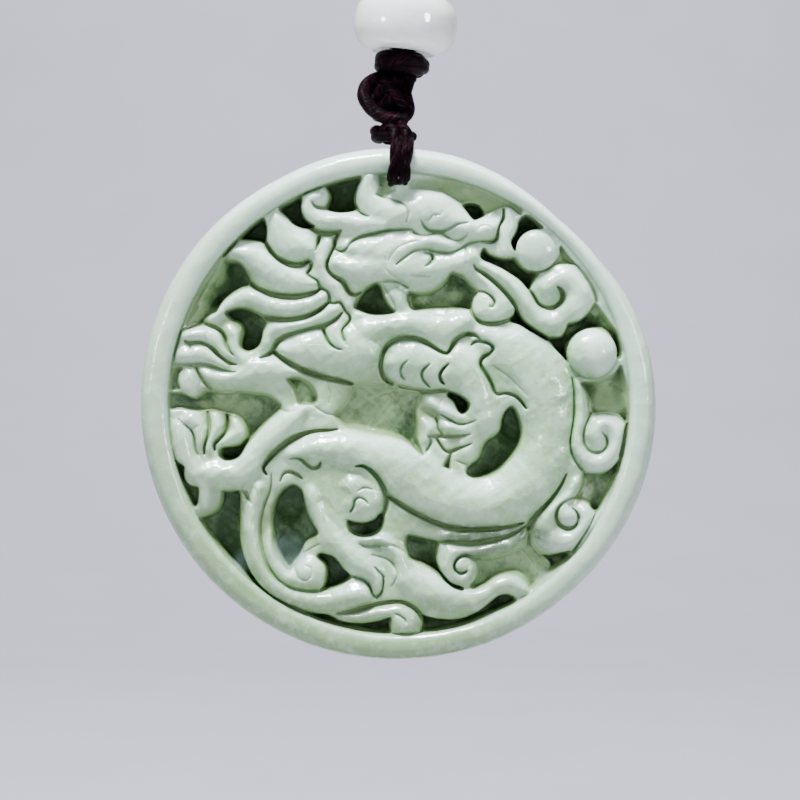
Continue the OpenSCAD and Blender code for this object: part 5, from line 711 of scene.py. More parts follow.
    [0.8, [[66.6, -40.2, 0.2], [68.4, -41.8, 0.5], [69.2, -44, 0.7], [68.6, -46.4, 0.8], [66.6, -48, 0.8],
     [64, -48, 0.8], [61.8, -46.6, 0.8], [60.6, -44.4, 0.8], [60.6, -41.8, 0.8], [61.8, -39.4, 0.6],
     [64, -37.6, 0.4], [67, -36.4, 0.4], [69, -36.2, 0.5]]],
    [0.7, [[66.8, -57.4, 0.6], [68.6, -54.6, 0.5], [70.4, -51.6, 0.5], [72.6, -48, 0.4], [74.6, -44.6, 0.4],
     [76, -41.8, 0.4]]],
    # clouds at the right
    [0.8, [[66.6, 10, 0.2], [67.4, 5, 0.4], [67.5, 0, 0.5], [67.4, -5, 0.5], [66.6, -10, 0.5], [65.9, -14.4, 0.5],
     [66.2, -18, 0.5], [67.6, -21.6, 0.6], [69.6, -24.4, 0.6], [71.8, -26.8, 0.6]]],
    [0.7, [[74, -3.8, 0.6], [72.8, -6.4, 0.5], [71.5, -9.2, 0.5], [70.9, -12.4, 0.5], [71.4, -15.8, 0.5],
     [73.2, -18.2, 0.6], [76, -19, 0.7], [78.8, -18.2, 0.6], [80.3, -16, 0.6], [80, -13.4, 0.5], [78, -11, 0.2]]],
    [1, [[88.2, -7.6, 0.5], [87.3, -11, 0.8], [86.5, -15.4, 0.9], [85.5, -20, 0.9]]],
    # right claw
    [0.7, [[15.6, -3.9, 0.4], [18, -5.3, 0.5], [20.4, -6.8, 0.5], [23, -7.9, 0.5], [26, -7.8, 0.5],
     [29.6, -6.4, 0.2]]],
    [0.7, [[14.2, -5.4, 0.4], [14.9, -7.6, 0.5], [15.2, -10, 0.5], [16.8, -12, 0.4]]],
    [0.8, [[11.2, -12.6, 0.4], [14.6, -12.6, 0.7], [18, -12.8, 0.6], [22, -12.8, 0.6], [25, -12.3, 0.5],
     [27.4, -11.7, 0.2]]],
    [0.6, [[11.4, -12.8, 0.5], [12.2, -15, 0.7], [11, -17.4, 0.6], [10, -19.4, 0.3]]],
    [0.9, [[14.6, -13.6, 0.4], [16, -16, 0.6], [17.4, -17.9, 0.6], [19.4, -18.6, 0.7], [22.4, -17.6, 0.6],
     [25.6, -16.4, 0.5], [28, -15.4, 0.2]]],
    [0.5, [[21.8, -22, 0.2], [23.8, -22.7, 0.4], [26.6, -23.4, 0.3]]],
]

# Rounded forms: share of the full rise, then points with the half width
forms = [
    # horns and head
    [1, [[-11.6, 88, 3], [-12.4, 84, 4], [-12.2, 80, 4.6], [-9, 76, 6], [-3.6, 73.4, 6], [1.6, 72.6, 3]]],
    [0.9, [[-30.6, 80, 2], [-34.6, 78, 3.2], [-34.4, 73.4, 3.6], [-29, 70.6, 3.6], [-22, 70.6, 3.6],
     [-14, 69.4, 3.6], [-6, 68.6, 2]]],
    [1, [[0, 73.6, 4], [7, 74, 7], [14, 73.6, 7.6], [21, 71.4, 6], [27, 67.6, 4.4], [33, 67.6, 4.4], [37.4, 68, 3]]],
    [0.7, [[41.6, 74, 1.6], [42.4, 69, 2.8], [41.4, 63, 2.8], [41, 58, 3]]],
    [0.8, [[-20, 60.6, 2], [-10, 58.6, 6], [0, 57.6, 7], [10, 62.4, 3], [20, 60.6, 2.4]]],
    [0.9, [[-24, 54, 2], [-15, 51, 6], [-4, 51.6, 6], [6, 51.6, 7], [14, 51.6, 6], [22, 53.6, 4], [28, 56, 4]]],
    # mane locks and neck
    [0.9, [[-47.6, 73, 1], [-45.6, 67, 4.4], [-42, 61.4, 6.4], [-36.6, 60, 4.6], [-33, 60, 2]]],
    [0.9, [[-65, 58.6, 1], [-58, 57, 4.4], [-50, 51.4, 5.4], [-43, 47.6, 5.4], [-36.4, 46.4, 4.4], [-32.4, 46, 2]]],
    [0.9, [[-73.4, 32.2, 1], [-69, 35.4, 2.6], [-64.6, 39, 3.6], [-58, 41, 3.8], [-50, 37.8, 4.2], [-42, 36.8, 4],
     [-34, 38.6, 3.8], [-29.4, 41, 2]]],
    [0.8, [[-51, 22, 1.6], [-50.4, 27, 2.4], [-46, 29.4, 2.4], [-40, 29.9, 2.4], [-33, 31.9, 2.6], [-27, 35, 2.8],
     [-24, 36.6, 1.6]]],
    [0.6, [[-27.6, 62, 2], [-29.6, 55, 3], [-28.6, 49, 2.6], [-24.6, 44, 3], [-22, 40, 2], [-19, 37, 1.4]]],
    [0.6, [[-25, 29.4, 2], [-24.8, 26, 2.4], [-23.4, 23, 1.6]]],
    [0.6, [[-15, 34, 1], [-3.6, 41.6, 2], [-0.4, 41.4, 2.6], [0, 37.6, 2.4]]],
    # body from the neck round to the leg
    [1, [[-45, 20.4, 2], [-38, 20.4, 6], [-30, 20.4, 8.4], [-20, 20.4, 10], [-11, 19.6, 5]]],
    [0.9, [[-12, 28.6, 5], [-4, 30, 4.4], [6, 30.4, 4.6], [16, 28.4, 6], [25, 31.6, 4.4]]],
    [1, [[32, 26.4, 3.6], [40, 22, 8], [48, 16.4, 10], [54.4, 8, 11], [57.4, -2, 10.4], [57.6, -12, 9.6],
     [55.4, -22, 10], [49, -31, 11], [40, -37.4, 10], [29, -39, 9.6], [18, -36.6, 10], [8, -30, 11],
     [-2, -23.6, 11], [-12, -19.4, 8], [-22, -17, 6], [-32, -17, 4.4], [-41, -19.6, 3]]],
    [1, [[-4, 15.4, 2], [2, 16.4, 7], [9, 14.6, 9], [16, 12, 7], [24, 14.4, 9], [28, 8, 7], [31, 0, 7],
     [34, -8, 5]]],
    [0.6, [[27, -7, 3], [27, -14, 4], [27, -19, 3.6]]],
    [0.7, [[8.4, -6.6, 1], [11.4, -9.4, 2.6], [10, -14, 1.6]]],
    [0.8, [[16.4, -8, 1.4], [20, -9.4, 2.4], [25, -10, 2]]],
    [0.8, [[12, 0.6, 2], [17, -2.6, 2.4], [23, -5.6, 1.8]]],
    # upper left claw and forearm
    [0.7, [[-65.4, 29, 1.4], [-63.4, 26, 2.2], [-63.6, 21, 2], [-60, 17, 2.4]]],
    [0.8, [[-82, 26, 1.8], [-77, 26.8, 2.8], [-72, 25.6, 3.4], [-69, 22, 2.6], [-66, 18.4, 1.6]]],
    [0.8, [[-83.4, 18.4, 2.4], [-77.6, 19.4, 3.6], [-72.6, 17.6, 2.8], [-67, 14.4, 1.4]]],
    [0.8, [[-76.4, 12.6, 1.2], [-71.6, 10, 3], [-63, 9.6, 3.6], [-55, 12.6, 5], [-47, 13, 4.6], [-40, 12.4, 2]]],
    [0.8, [[-80.4, 11.4, 2.4], [-80.6, 7, 3.6], [-79.4, 4, 1.6]]],
    # lower left leg and claw
    [1, [[-36, -1.4, 1.6], [-41, -6, 3.6], [-47, -10.6, 5], [-54, -18, 5.6], [-61, -26.4, 6], [-70, -27.4, 5.6],
     [-78, -27, 4]]],
    [0.9, [[-84.6, -8, 2.4], [-83.4, -14, 4], [-82, -20, 4], [-78.6, -26, 4.4], [-75, -33, 4.4], [-74.4, -40, 2.6]]],
    [0.7, [[-80, -5.6, 3], [-77, -9, 2.6], [-76.6, -14, 1.8], [-76.4, -18, 1]]],
    [0.8, [[-70.8, -4.6, 2.4], [-69.8, -9, 3], [-72, -13.4, 1.8], [-73.2, -17.6, 1.4]]],
    [0.8, [[-63, -6.6, 2], [-62, -11, 3], [-65.6, -13.6, 2.4], [-69.4, -15.6, 1]]],
    # tail and hind foot
    [0.9, [[-54, -32, 2.4], [-56.6, -42, 3], [-57, -51, 3], [-54.6, -60, 3], [-50.6, -67, 3], [-43.6, -73, 3.6],
     [-34, -76, 3.6], [-24, -75.6, 4.6], [-15, -73.6, 4.6], [-12, -74, 2]]],
    [0.8, [[-49.6, -49, 1], [-49.8, -56, 1.6], [-47.4, -62.6, 2], [-43, -67, 2.6], [-37, -68, 3.4],
     [-33.4, -65.6, 4.6], [-34, -62.6, 4]]],
    [0.8, [[-34, -34, 2.6], [-31.6, -42, 3.6], [-28, -50, 4.4], [-22, -55.6, 4.4], [-15, -61, 5], [-8.6, -66, 3],
     [-8.2, -71, 1.6]]],
    [0.8, [[-18, -31, 4], [-13, -35.4, 7], [-13, -39, 6.6]]],
    [0.9, [[-14, -52.4, 1.4], [-6, -52.4, 2], [1.4, -60, 3], [3, -67, 5.4], [12, -72, 6.4], [22, -76, 5.6],
     [31, -74.6, 4], [38, -70, 3.4], [44, -69, 3.4], [48, -71.6, 1.8]]],
    [0.7, [[-23, -81.9, 0.8], [-15, -82, 1.8], [-7, -80.4, 2.4], [0, -80.6, 3], [3.6, -83.6, 4.4]]],
    # fins, curls and clouds
    [0.7, [[16, -50.4, 1.4], [26, -50.9, 1.8], [36, -50.5, 1.8], [45, -48.6, 1]]],
    [0.8, [[47.6, -51.4, 1], [40, -55, 2], [30, -57, 2], [20.6, -57.6, 3], [18.2, -62.6, 3], [21, -67.4, 2.6],
     [26.4, -66.8, 2.4], [28, -62.6, 1.8]]],
    [0.9, [[69, 8, 1.6], [70.2, 0, 2], [69.4, -8, 2.4], [68.6, -16, 2.6], [72.4, -22.6, 3.6], [79, -22.6, 3.6],
     [83.4, -17, 2.6], [83.4, -10, 3], [78, -7, 2.6], [75.6, -12, 3.6]]],
    [0.9, [[68.4, -30, 1.8], [65.6, -35.4, 1.8], [59.4, -41, 2.6], [56, -47.4, 4], [59.6, -52.6, 4.4],
     [66.4, -52, 3.6], [71.4, -46, 3], [71.4, -41, 2.4]]],
    [0.8, [[61.4, -43.6, 0.8], [64.8, -43.2, 3.6], [66, -43, 2]]],
    [0.9, [[31.6, 53.4, 1.2], [38, 50, 2], [44.4, 45, 2.6], [48.4, 39, 3], [53, 33.4, 3.6], [59, 30.6, 4],
     [66, 35, 4.6], [69.4, 42, 5], [64, 48.4, 4], [57, 45, 4]]],
    [0.9, [[29.4, 51, 0.8], [34, 46.4, 2], [39, 41, 2.6], [40.6, 36.4, 3], [36.6, 34, 2.8], [32, 37, 3]]],
]

# Pearls: place, radius and share of the full rise
pearls = [[53.1, 59, 8.1, 0.6], [74.3, 19.3, 9.7, 1.1]]

# Finer cuts and swellings than the CAD has, written the same way
fineLines = [
    [0.5, [[-6.5, 46, 0.4], [-4, 42, 0.4], [-2, 38.5, 0.4], [-1, 35.5, 0.4]]],
    [0.2, [[16, 72, 0.2], [17, 74, 0.3], [17.7, 76.5, 0.2]]],
    [0.4, [[-34, 0.3, 0.4], [-32, -1.5, 0.5], [-30, -2.9, 0.5], [-27.5, -3.9, 0.5], [-25.5, -4.3, 0.5]]],
    [0.35, [[-45.5, -2.3, 0.4], [-43, -3.2, 0.4], [-40, -2.8, 0.3]]],
    [0.25, [[-27.5, 8.3, 0.3], [-26.6, 4, 0.6], [-27, 0, 0.4]]],
    [0.25, [[-21.8, -28.5, 0.2], [-20, -30.5, 0.3], [-18.3, -32.3, 0.2]]],
    [0.3, [[-55.3, -32.5, 0.3], [-54.5, -35, 0.6], [-53.3, -37, 0.3]]],
    [0.45, [[-30.5, -54, 0.2], [-34, -56, 0.35], [-38, -58.8, 0.4], [-40.3, -62.5, 0.5], [-39.3, -66.3, 0.5],
     [-36.6, -68, 0.5], [-33.8, -66.5, 0.45], [-33.8, -63.4, 0.4], [-36, -62.2, 0.2]]],
    [0.25, [[21, -54.4, 0.3], [24, -55, 0.4], [28, -54.9, 0.3]]],
    [0.2, [[44, 8, 0.2], [48, 4, 0.2]]],
    [0.35, [[-5.2, 56, 0.25], [-5, 51.7, 0.4], [-1.9, 48.6, 0.45], [1.9, 46.3, 0.4], [4, 43.6, 0.25]]],
    [0.35, [[-4.2, 54.5, 0.25], [-2, 58, 0.4], [1, 60.6, 0.4], [4.5, 62, 0.35], [7.5, 62.4, 0.2]]],
    [0.35, [[30.4, 66.3, 0.3], [31.8, 68.2, 0.4], [34.5, 68.3, 0.4], [35.2, 66.6, 0.3], [33.6, 65.8, 0.2]]],
    [0.35, [[-75.2, 29, 0.25], [-73, 28.3, 0.35], [-74.4, 26.3, 0.4], [-74.1, 24.1, 0.3]]],
    [0.2, [[51.8, -51, 0.3], [53, -54, 0.3], [56, -56.5, 0.3]]],
    [0.25, [[15.6, -2.2, 0.3], [16, 1, 0.35], [18.4, 2.8, 0.25]]],
    [0.25, [[-58, -30, 0.3], [-60.5, -33.5, 0.4], [-58.5, -36, 0.3]]],
    [0.2, [[-90.5, -2, 0.25], [-87, -6, 0.35], [-84.5, -4, 0.3]]],
]
fineForms = [
    [1.0, [[35.5, 37, 8], [36.5, 37, 8]]],
    [0.9, [[-13.5, -38, 7.5], [-12.5, -38, 7.5]]],
    [0.9, [[-35, -65.5, 6.2], [-34, -65.5, 6.2]]],
    [0.9, [[22, -63.5, 7], [23, -63.5, 7]]],
    [0.9, [[2, -83.5, 6], [3, -83.5, 6]]],
    [0.9, [[64.5, -43, 4], [65.5, -43, 4]]],
    [1.1, [[9, 75, 7], [15, 75, 7]]],
    [0.8, [[2, 15, 9], [18, 15, 9]]],
]

# Small pockets in the scene alone: share of the full depth, then the outline
finePockets = [
    [0.95, [[-69.4, -18.8], [-68.4, -17.1], [-65.5, -16.6], [-61.6, -15.9], [-59, -13.2], [-58.2, -13.7],
     [-59.7, -17.6], [-61.6, -20.5], [-64.5, -21.9], [-67.4, -21.7], [-68.9, -20.5]]],
    [0.8, [[51.5, -55.8], [54.7, -57.6], [58.5, -58.4], [64.6, -57.3], [65.8, -59.3], [59.1, -63.6],
     [58.2, -61.8], [54.7, -58.6]]],
]

# Edges and scratches on the pocket floors: height in mm, then points with the half width
floorLines = [
    [0.16, [[45, -55.5, 0.4], [48.5, -58, 0.5], [51, -61.5, 0.5], [51.8, -66.5, 0.3]]],
    [-0.14, [[47, -54.8, 0.7], [51, -58, 0.9], [53.3, -62, 0.9], [53.8, -67, 0.6]]],
    [0.12, [[53.5, -57.5, 0.3], [57.2, -60.5, 0.4], [58, -63.5, 0.4], [56, -67, 0.3]]],
    [0.12, [[38, -58, 0.3], [41, -55, 0.5], [43.5, -54.3, 0.3]]],
    [-0.08, [[-14, 3, 0.3], [-6, -4, 0.4], [1, -12, 0.3]]],
    [-0.08, [[-4, 4, 0.3], [2, -3, 0.4], [4, -8, 0.3]]],
    [-0.07, [[-18, -3, 0.3], [-10, 2, 0.35], [-2, 5, 0.3]]],
    [-0.07, [[10, 41, 0.3], [15, 38, 0.3], [22, 37, 0.3]]],
    [0.10, [[5, 44, 0.3], [8, 40, 0.5], [12, 36.5, 0.3]]],
]

# Where the pockets are shallower or, over 1, deeper: place, half width, half height, share of the depth
fills = [
    [12, 84, 22, 6, 0.1], [34, 85, 12, 6, 0.5], [44, 76, 9, 6, 0.6], [7, 42, 6, 6, 0.7], [-8, -2, 16, 8, 0.93],
    [40, -52, 12, 9, 0.75], [66, -36, 8, 9, 0.6], [82, 4, 10, 10, 0.5], [76, -34, 8, 8, 0.75],
    [-64, -1, 12, 6, 0.85], [-37, 3, 5, 6, 0.6], [56, 62, 4, 6, 0.5], [64, 56, 4, 4, 0.35], [70, 48, 4, 7, 0.3],
    [76, 38, 4, 6, 0.4], [80, 28, 3, 5, 0.55], [5, -8, 5, 9, 1.4], [15, 41, 10, 6, 0.78], [-42, -38, 6, 7, 1.22],
    [45, -6, 6, 7, 1.18], [-74, 33, 6, 6, 0.6],
]

# Where the cut lines are fainter: place, half width, half height, share of the depth kept
softened = [
    [73, 47, 6, 10, 0.3], [-84, 12, 15, 14, 0.72], [72, -22, 10, 14, 0.75], [12, 60, 26, 16, 0.78],
    [-37, -64, 8, 8, 0.7],
]

# Painted shade, darker green on lower-lying forms: place, half width, half height, share
shades = [
    [24, -62, 9, 8, 0.35], [40, -57, 20, 4, 0.9], [-78, -40, 8, 8, 0.2], [-9, -52, 10, 6, 0.25],
    [53, 60, 7, 7, 0.3], [64, 40, 7, 8, 0.12], [5, 30, 30, 5, 0.15], [11.2, -4, 4, 2.5, 0.5],
    [8, -46, 10, 5, 0.4], [29, -51, 15, 4.5, 1.0], [50, -51, 12, 4.5, 0.9],
]

# Painted reflection, bluish white and mostly on pocket floors: place, half width, half height, share
reflectionSpots = [
    [-43, -58, 7, 6, 1.0], [-61, -61, 3, 4, 0.8], [-84, -5, 6, 6, 0.35], [56, -68, 3, 4, 0.5],
    [-14, -62, 12, 9, 0.15], [70, -44, 5, 4, 0.3],
]

fieldSize = (stone["pixels"],) * 2
axisAcross = np.linspace(-stone["reach"], stone["reach"], stone["pixels"])
perPixel = axisAcross[1] - axisAcross[0]
fieldU, fieldV = np.meshgrid(axisAcross, axisAcross)
awayFromMiddle = np.hypot(fieldU, fieldV)
fieldAngle = np.degrees(np.arctan2(fieldV, fieldU)) % 360
chance = np.random.default_rng(11)


def blurred(field, width):  # width in mm
    sigma = width / stone["unit"] / perPixel
    f = np.fft.fftfreq(field.shape[0])
    g = np.exp(-2 * (math.pi * sigma * f) ** 2)
    return np.real(np.fft.ifft2(np.fft.fft2(field) * g[:, None] * g[None, :]))


def grain(width):  # soft noise of about one unit of deviation
    field = blurred(chance.standard_normal(fieldSize), width)
    return field / field.std()


def streaks(degrees, long, short):  # soft noise drawn out along one direction
    f = np.fft.fftfreq(stone["pixels"])
    fx, fy = f[None, :], f[:, None]
    c, s = math.cos(math.radians(degrees)), math.sin(math.radians(degrees))
    scale = 1 / stone["unit"] / perPixel
    along, across = (fx * c + fy * s) * long * scale, (fy * c - fx * s) * short * scale
    g = np.exp(-2 * math.pi**2 * (along**2 + across**2))
    field = np.real(np.fft.ifft2(np.fft.fft2(chance.standard_normal(fieldSize)) * g))
    return field / field.std()


def marksOn(surface):
    total = 0
    for share, width in stone["marks"][surface]["grains"]:
        total = total + share * grain(width)
    for share, *shape in stone["marks"][surface]["streaks"]:
        total = total + share * streaks(*shape)
    return total


def windowRound(points, margin):
    low = np.searchsorted(axisAcross, points.min(axis=0) - margin)
    high = np.searchsorted(axisAcross, points.max(axis=0) + margin)
    window = (slice(low[1], high[1]), slice(low[0], high[0]))
    return window, axisAcross[window[1]][None, :], axisAcross[window[0]][:, None]


def nearestOn(a, b, x, y):  # how far along a segment each pixel's nearest point is, and the squared distance to it
    run = b - a
    t = np.clip(((x - a[0]) * run[0] + (y - a[1]) * run[1]) / (run[0] ** 2 + run[1] ** 2 + 1e-9), 0, 1)
    return t, (x - a[0] - t * run[0]) ** 2 + (y - a[1] - t * run[1]) ** 2


def depthInside(outline):  # distance into a closed outline, minus outside it
    p = curveThrough([(*q, 0) for q in outline], 4, closed=True)[:, :2]
    window, x, y = windowRound(p, 3)
    nearest = np.full((y.size, x.size), 1e9)
    inside = np.zeros((y.size, x.size), bool)
    for a, b in zip(p, np.roll(p, -1, axis=0)):
        nearest = np.minimum(nearest, nearestOn(a, b, x, y)[1])
        if a[1] != b[1]:
            inside ^= ((a[1] > y) != (b[1] > y)) & (x < a[0] + (y - a[1]) / (b[1] - a[1]) * (b[0] - a[0]))
    return window, np.where(inside, 1, -1) * np.sqrt(nearest)


def acrossStroke(route):  # distance from a drawn line, in its own half widths
    p = curveThrough(route, 4)
    p[:, 2] = np.maximum(p[:, 2], stone["thinnest"])
    window, x, y = windowRound(p[:, :2], p[:, 2].max() * 4 + 1)
    nearest = np.full((y.size, x.size), 99.0)
    for a, b in zip(p[:-1], p[1:]):
        t, square = nearestOn(a[:2], b[:2], x, y)
        nearest = np.minimum(nearest, np.sqrt(square) / (a[2] + t * (b[2] - a[2])))
    return window, nearest


def smoothStep(x):
    x = np.clip(x, 0, 1)
    return x * x * (3 - 2 * x)


def edgeAt(angle):  # radius of the disc's uneven outline, in mm
    t = np.array(outlineShare, float)
    return hang["discRadius"] * np.interp(angle, t[:, 0], t[:, 1])


def nearSpot(u, v, wide, high):  # 1 at a place, fading to 0 at one and a half times its size
    apart = np.hypot((axisAcross[None, :] - u) / wide, (axisAcross[:, None] - v) / high)
    return smoothStep(1.5 - apart)


def scaledNear(spots, field):
    for *spot, share in spots:
        field = field * (1 - (1 - share) * nearSpot(*spot))
    return field


def lower(field, window, values):
    field[window] = np.minimum(field[window], values)


def raiseTo(field, window, values):
    field[window] = np.maximum(field[window], values)


def pocketSlope():  # 1 over the field, falling to 0 at the rim
    sloped = stone["slopedSide"]
    reach = stone["fieldRadius"] / stone["unit"] + stone["fieldMargin"] - awayFromMiddle
    side = smoothStep((fieldAngle - sloped["start"]) / sloped["startRamp"])
    side = side * smoothStep((sloped["end"] - fieldAngle) / sloped["endRamp"])
    return smoothStep(reach / (stone["fieldSlope"] + sloped["wider"] * side))


def carvedHeights():
    keep, whole = np.ones(fieldSize), np.ones(fieldSize)  # where nothing cuts the forms, and the bulges
    grooves, pits, rise = np.zeros(fieldSize), np.zeros(fieldSize), np.zeros(fieldSize)
    for share, outline in pockets + finePockets:
        window, into = depthInside(outline)
        deep = stone["pocketDepth"] * share - (stone["halfDepth"] - stone["flatDepth"])
        raiseTo(pits, window, deep * smoothStep((into + stone["wallStart"]) / stone["wallWidth"]))
        gone = smoothStep((into + stone["pocketMouth"]) / (2 * stone["pocketMouth"]))
        lower(keep, window, 1 - min(1, stone["pocketEdge"] + share) * gone)
        lower(whole, window, 1 - gone)
    for share, route in lines + fineLines:
        window, away = acrossStroke(route)
        cut = np.exp(-((away * stone["grooveTaper"]) ** 4))
        raiseTo(grooves, window, stone["grooveDepth"] * share ** stone["grooveFade"] * cut)
        gone = np.clip(stone["grooveBrink"] - away, 0, 1)
        lower(keep, window, 1 - min(1, share) * gone)
        if share > stone["bulgeBreak"]:
            lower(whole, window, 1 - gone)
    grooves = scaledNear(softened, grooves)
    for share, route in forms + fineForms:
        window, away = acrossStroke(route)
        raiseTo(rise, window, stone["formRise"] * share * np.clip(1 - away**2, 0, 1) ** stone["formFullness"])
    near = np.clip(blurred(keep, stone["edgeReach"]), 0, 1)
    wide = np.clip(blurred(keep, stone["swellReach"]), 0, 1)
    bulge = np.clip(blurred(whole, stone["bulgeReach"]), 0, 1)
    soft = stone["edgeSoftness"]
    pillow = np.sqrt(np.clip(2 * near - 1, 0, 1) + soft) - math.sqrt(soft)
    pillow = pillow / (math.sqrt(1 + soft) - math.sqrt(soft))
    top = stone["lift"] + blurred(rise, stone["formBlur"]) - stone["edgeRound"] * (1 - pillow)
    top = top - stone["swell"] * (1 - wide) - stone["bulge"] * (1 - bulge)
    marks = stone["markDepth"] * marksOn("forms")
    floor = marksOn("floors")
    for height, route in floorLines:
        window, away = acrossStroke(route)
        floor[window] += height * np.exp(-((away * stone["floorLineTaper"]) ** 2))
    pits = np.minimum(scaledNear(fills, pits * pocketSlope()), stone["deepest"])
    pitShare = smoothStep(pits / stone["pitFade"])
    heights = top * (1 - stone["pitFlattening"] * pitShare) + (marks - grooves) * (1 - pitShare)
    heights = blurred(heights + floor * pitShare - pits, stone["finish"])
    for u, v, radius, share in pearls:
        away = np.hypot(fieldU - u, fieldV - v) / radius
        ball = np.sqrt(np.clip(1 - (away * stone["pearl"]["fullness"]) ** 2, 0, 1))
        ball = stone["pearl"]["height"] * share * ball - stone["pearl"]["sunk"]
        heights = np.where(away < 1, np.maximum(ball, heights), heights)
    return heights


def withRim(heights):  # the field runs into the rim: a small inner bevel, the dome, and the start of the outer edge
    share = (awayFromMiddle * stone["unit"] - stone["fieldRadius"]) / (edgeAt(fieldAngle) - stone["fieldRadius"])
    start = (0, -stone["flatDepth"] / stone["halfDepth"], 0)
    section = curveThrough([start] + [(a, b, 0) for a, b in rimSection[:6]], 8)
    dome = -stone["halfDepth"] * np.interp(np.clip(share, 0, 1), section[:, 0], section[:, 1]) - stone["flatDepth"]
    wave = marksOn("rim") * np.clip(4 * share * (1 - share), 0, 1)
    blend = smoothStep((share + stone["rimStart"]) / stone["rimBlend"])
    return heights * (1 - blend) + (dome + wave) * blend


def sampleAt(field, u, v):
    x = np.clip((u - axisAcross[0]) / perPixel, 0, stone["pixels"] - 1.001)
    y = np.clip((v - axisAcross[0]) / perPixel, 0, stone["pixels"] - 1.001)
    i, j = x.astype(int), y.astype(int)
    s, t = x - i, y - j
    low = field[j, i] * (1 - s) + field[j, i + 1] * s
    high = field[j + 1, i] * (1 - s) + field[j + 1, i + 1] * s
    return low * (1 - t) + high * t


heights = withRim(carvedHeights())
print("carving drawn")


def stoneMesh():  # a square grid bent round over the front, then rings over the edge and the back
    side = stone["gridSide"]
    a, b = np.meshgrid(np.linspace(-1, 1, side), np.linspace(-1, 1, side))
    u, v = a * np.sqrt(1 - b**2 / 2), b * np.sqrt(1 - a**2 / 2)
    angle = np.arctan2(v, u) % (2 * math.pi)
    field = stone["fieldRadius"]
    radius = np.hypot(u, v) * (field + stone["gridOnRim"] * (edgeAt(np.degrees(angle)) - field))
    x, z = radius * np.cos(angle), radius * np.sin(angle)
    y = -stone["flatDepth"] - sampleAt(heights, x / stone["unit"], z / stone["unit"])
    points = [np.stack([x, y, z], axis=2).reshape(-1, 3)]
    index = np.arange(side * side).reshape(side, side)
    corners = (index[:-1, :-1], index[:-1, 1:], index[1:, 1:], index[1:, :-1])
    quads = [np.stack(corners, axis=2).reshape(-1, 4)]
    border = np.concatenate([index[0, :-1], index[:-1, -1], index[-1, :0:-1], index[:0:-1, 0]])
    turn = angle.reshape(-1)[border]
    count = len(border)
    rim = edgeAt(np.degrees(turn)) - field
    section = curveThrough([(p, q, 0) for p, q in rimSection], 5)[:, :2]
    start = next(i for i, (p, q) in enumerate(section) if p > stone["edgeFrom"] and q > -0.99)
    rings = [(field + p * rim, q * stone["halfDepth"]) for p, q in section[start:]]
    rings += [(rings[-1][0] * share, stone["halfDepth"]) for share in stone["backRings"]]
    last, total = border, side * side
    for ringRadius, depth in rings:
        x, z = ringRadius * np.cos(turn), ringRadius * np.sin(turn)
        points.append(np.stack([x, np.full(count, depth), z], axis=1))
        ring = total + np.arange(count)
        total += count
        quads.append(np.stack([last, ring, np.roll(ring, -1), np.roll(last, -1)], axis=1))
        last = ring
    points.append(np.array([[0, stone["halfDepth"], 0]]))
    fan = [(int(last[k]), total, int(last[(k + 1) % count])) for k in range(count)]
    return np.concatenate(points), np.concatenate(quads).tolist() + fan


points, faces = stoneMesh()
mesh = bpy.data.meshes.new("carvedStone")
mesh.from_pydata((points - [0, 0, hang["hangHeight"]]) * mm, [], faces)
mesh.polygons.foreach_set("use_smooth", np.ones(len(mesh.polygons), bool))
carvedStone = newObject("carvedStone", mesh)
print("stone mesh of", len(faces), "faces")


def applied(piece, kind, **settings):  # runs one modifier and keeps its result
    modifier = piece.modifiers.new(kind, kind)
    for key, value in settings.items():
        setattr(modifier, key, value)
    result = bpy.data.meshes.new_from_object(piece.evaluated_get(bpy.context.evaluated_depsgraph_get()))
    piece.modifiers.clear()
    old = piece.data
    piece.data = result
    bpy.data.meshes.remove(old)


applied(carvedStone, "DECIMATE", ratio=stone["triangles"] / sum(len(face) - 2 for face in faces))


def holeCutter():  # an hourglass, wider at both faces, worn by the cord
    hole = stone["hole"]
    flare, deep, sides = hole["flare"], stone["halfDepth"], hole["sides"]
    mouth = hole["radius"] + flare * hole["mouth"]
    rows = [(-deep - hole["beyond"], mouth)]
    for depth in np.linspace(-deep, deep, hole["rows"]):
        out = max(0, (abs(depth) / deep - hole["flareFrom"]) / (1 - hole["flareFrom"]))
        rows.append((depth, hole["radius"] + flare * out ** hole["curve"]))
    rows.append((deep + hole["beyond"], mouth))
    points = []
    for depth, radius in rows:
        for k in range(sides):
            a = 2 * math.pi * k / sides
            points.append(place(hang["holeX"] + radius * math.cos(a), depth, hang["holeZ"] + radius * math.sin(a)))
    cutterMesh = bpy.data.meshes.new("holeCutter")
    cutterMesh.from_pydata(points, [], ringFaces(len(rows), sides))
    return newObject("holeCutter", cutterMesh)


cutter = holeCutter()
applied(carvedStone, "BOOLEAN", object=cutter, operation="DIFFERENCE", solver="EXACT")
bpy.data.objects.remove(cutter)
mesh = carvedStone.data
facings = np.empty(len(mesh.polygons) * 3)
mesh.polygons.foreach_get("normal", facings)
mesh.polygons.foreach_set("use_smooth", facings[1::3] < stone["flatFacing"])  # the flat back stays flat


# What the material reads at each vertex: how hollow, how proud and how deep the stone is there, and the spots. They
# place painted shade in hollows and pockets, painted light on crests, and spots of painted shade and painted
# reflection
def readings():
    reading = stone["reading"]
    shallow = np.maximum(heights, reading["shallow"])

    def above(name):  # how far the stone stands over its surroundings
        width, full = reading[name]
        return (shallow - blurred(shallow, width)) / full

    fields = {
        "hollow": np.clip(-above("hollow") - reading["hollowFrom"], 0, 1),
        "crest": np.clip(above("crest"), 0, 1),
        "flank": np.clip(-above("flank"), 0, 1),
        "depth": np.clip(-heights / reading["depthRange"], 0, 1),
    }
    for label, spots in (("frost", reflectionSpots), ("shade", shades)):
        fields[label] = np.max([share * nearSpot(*spot) for *spot, share in spots], axis=0)
    return fields


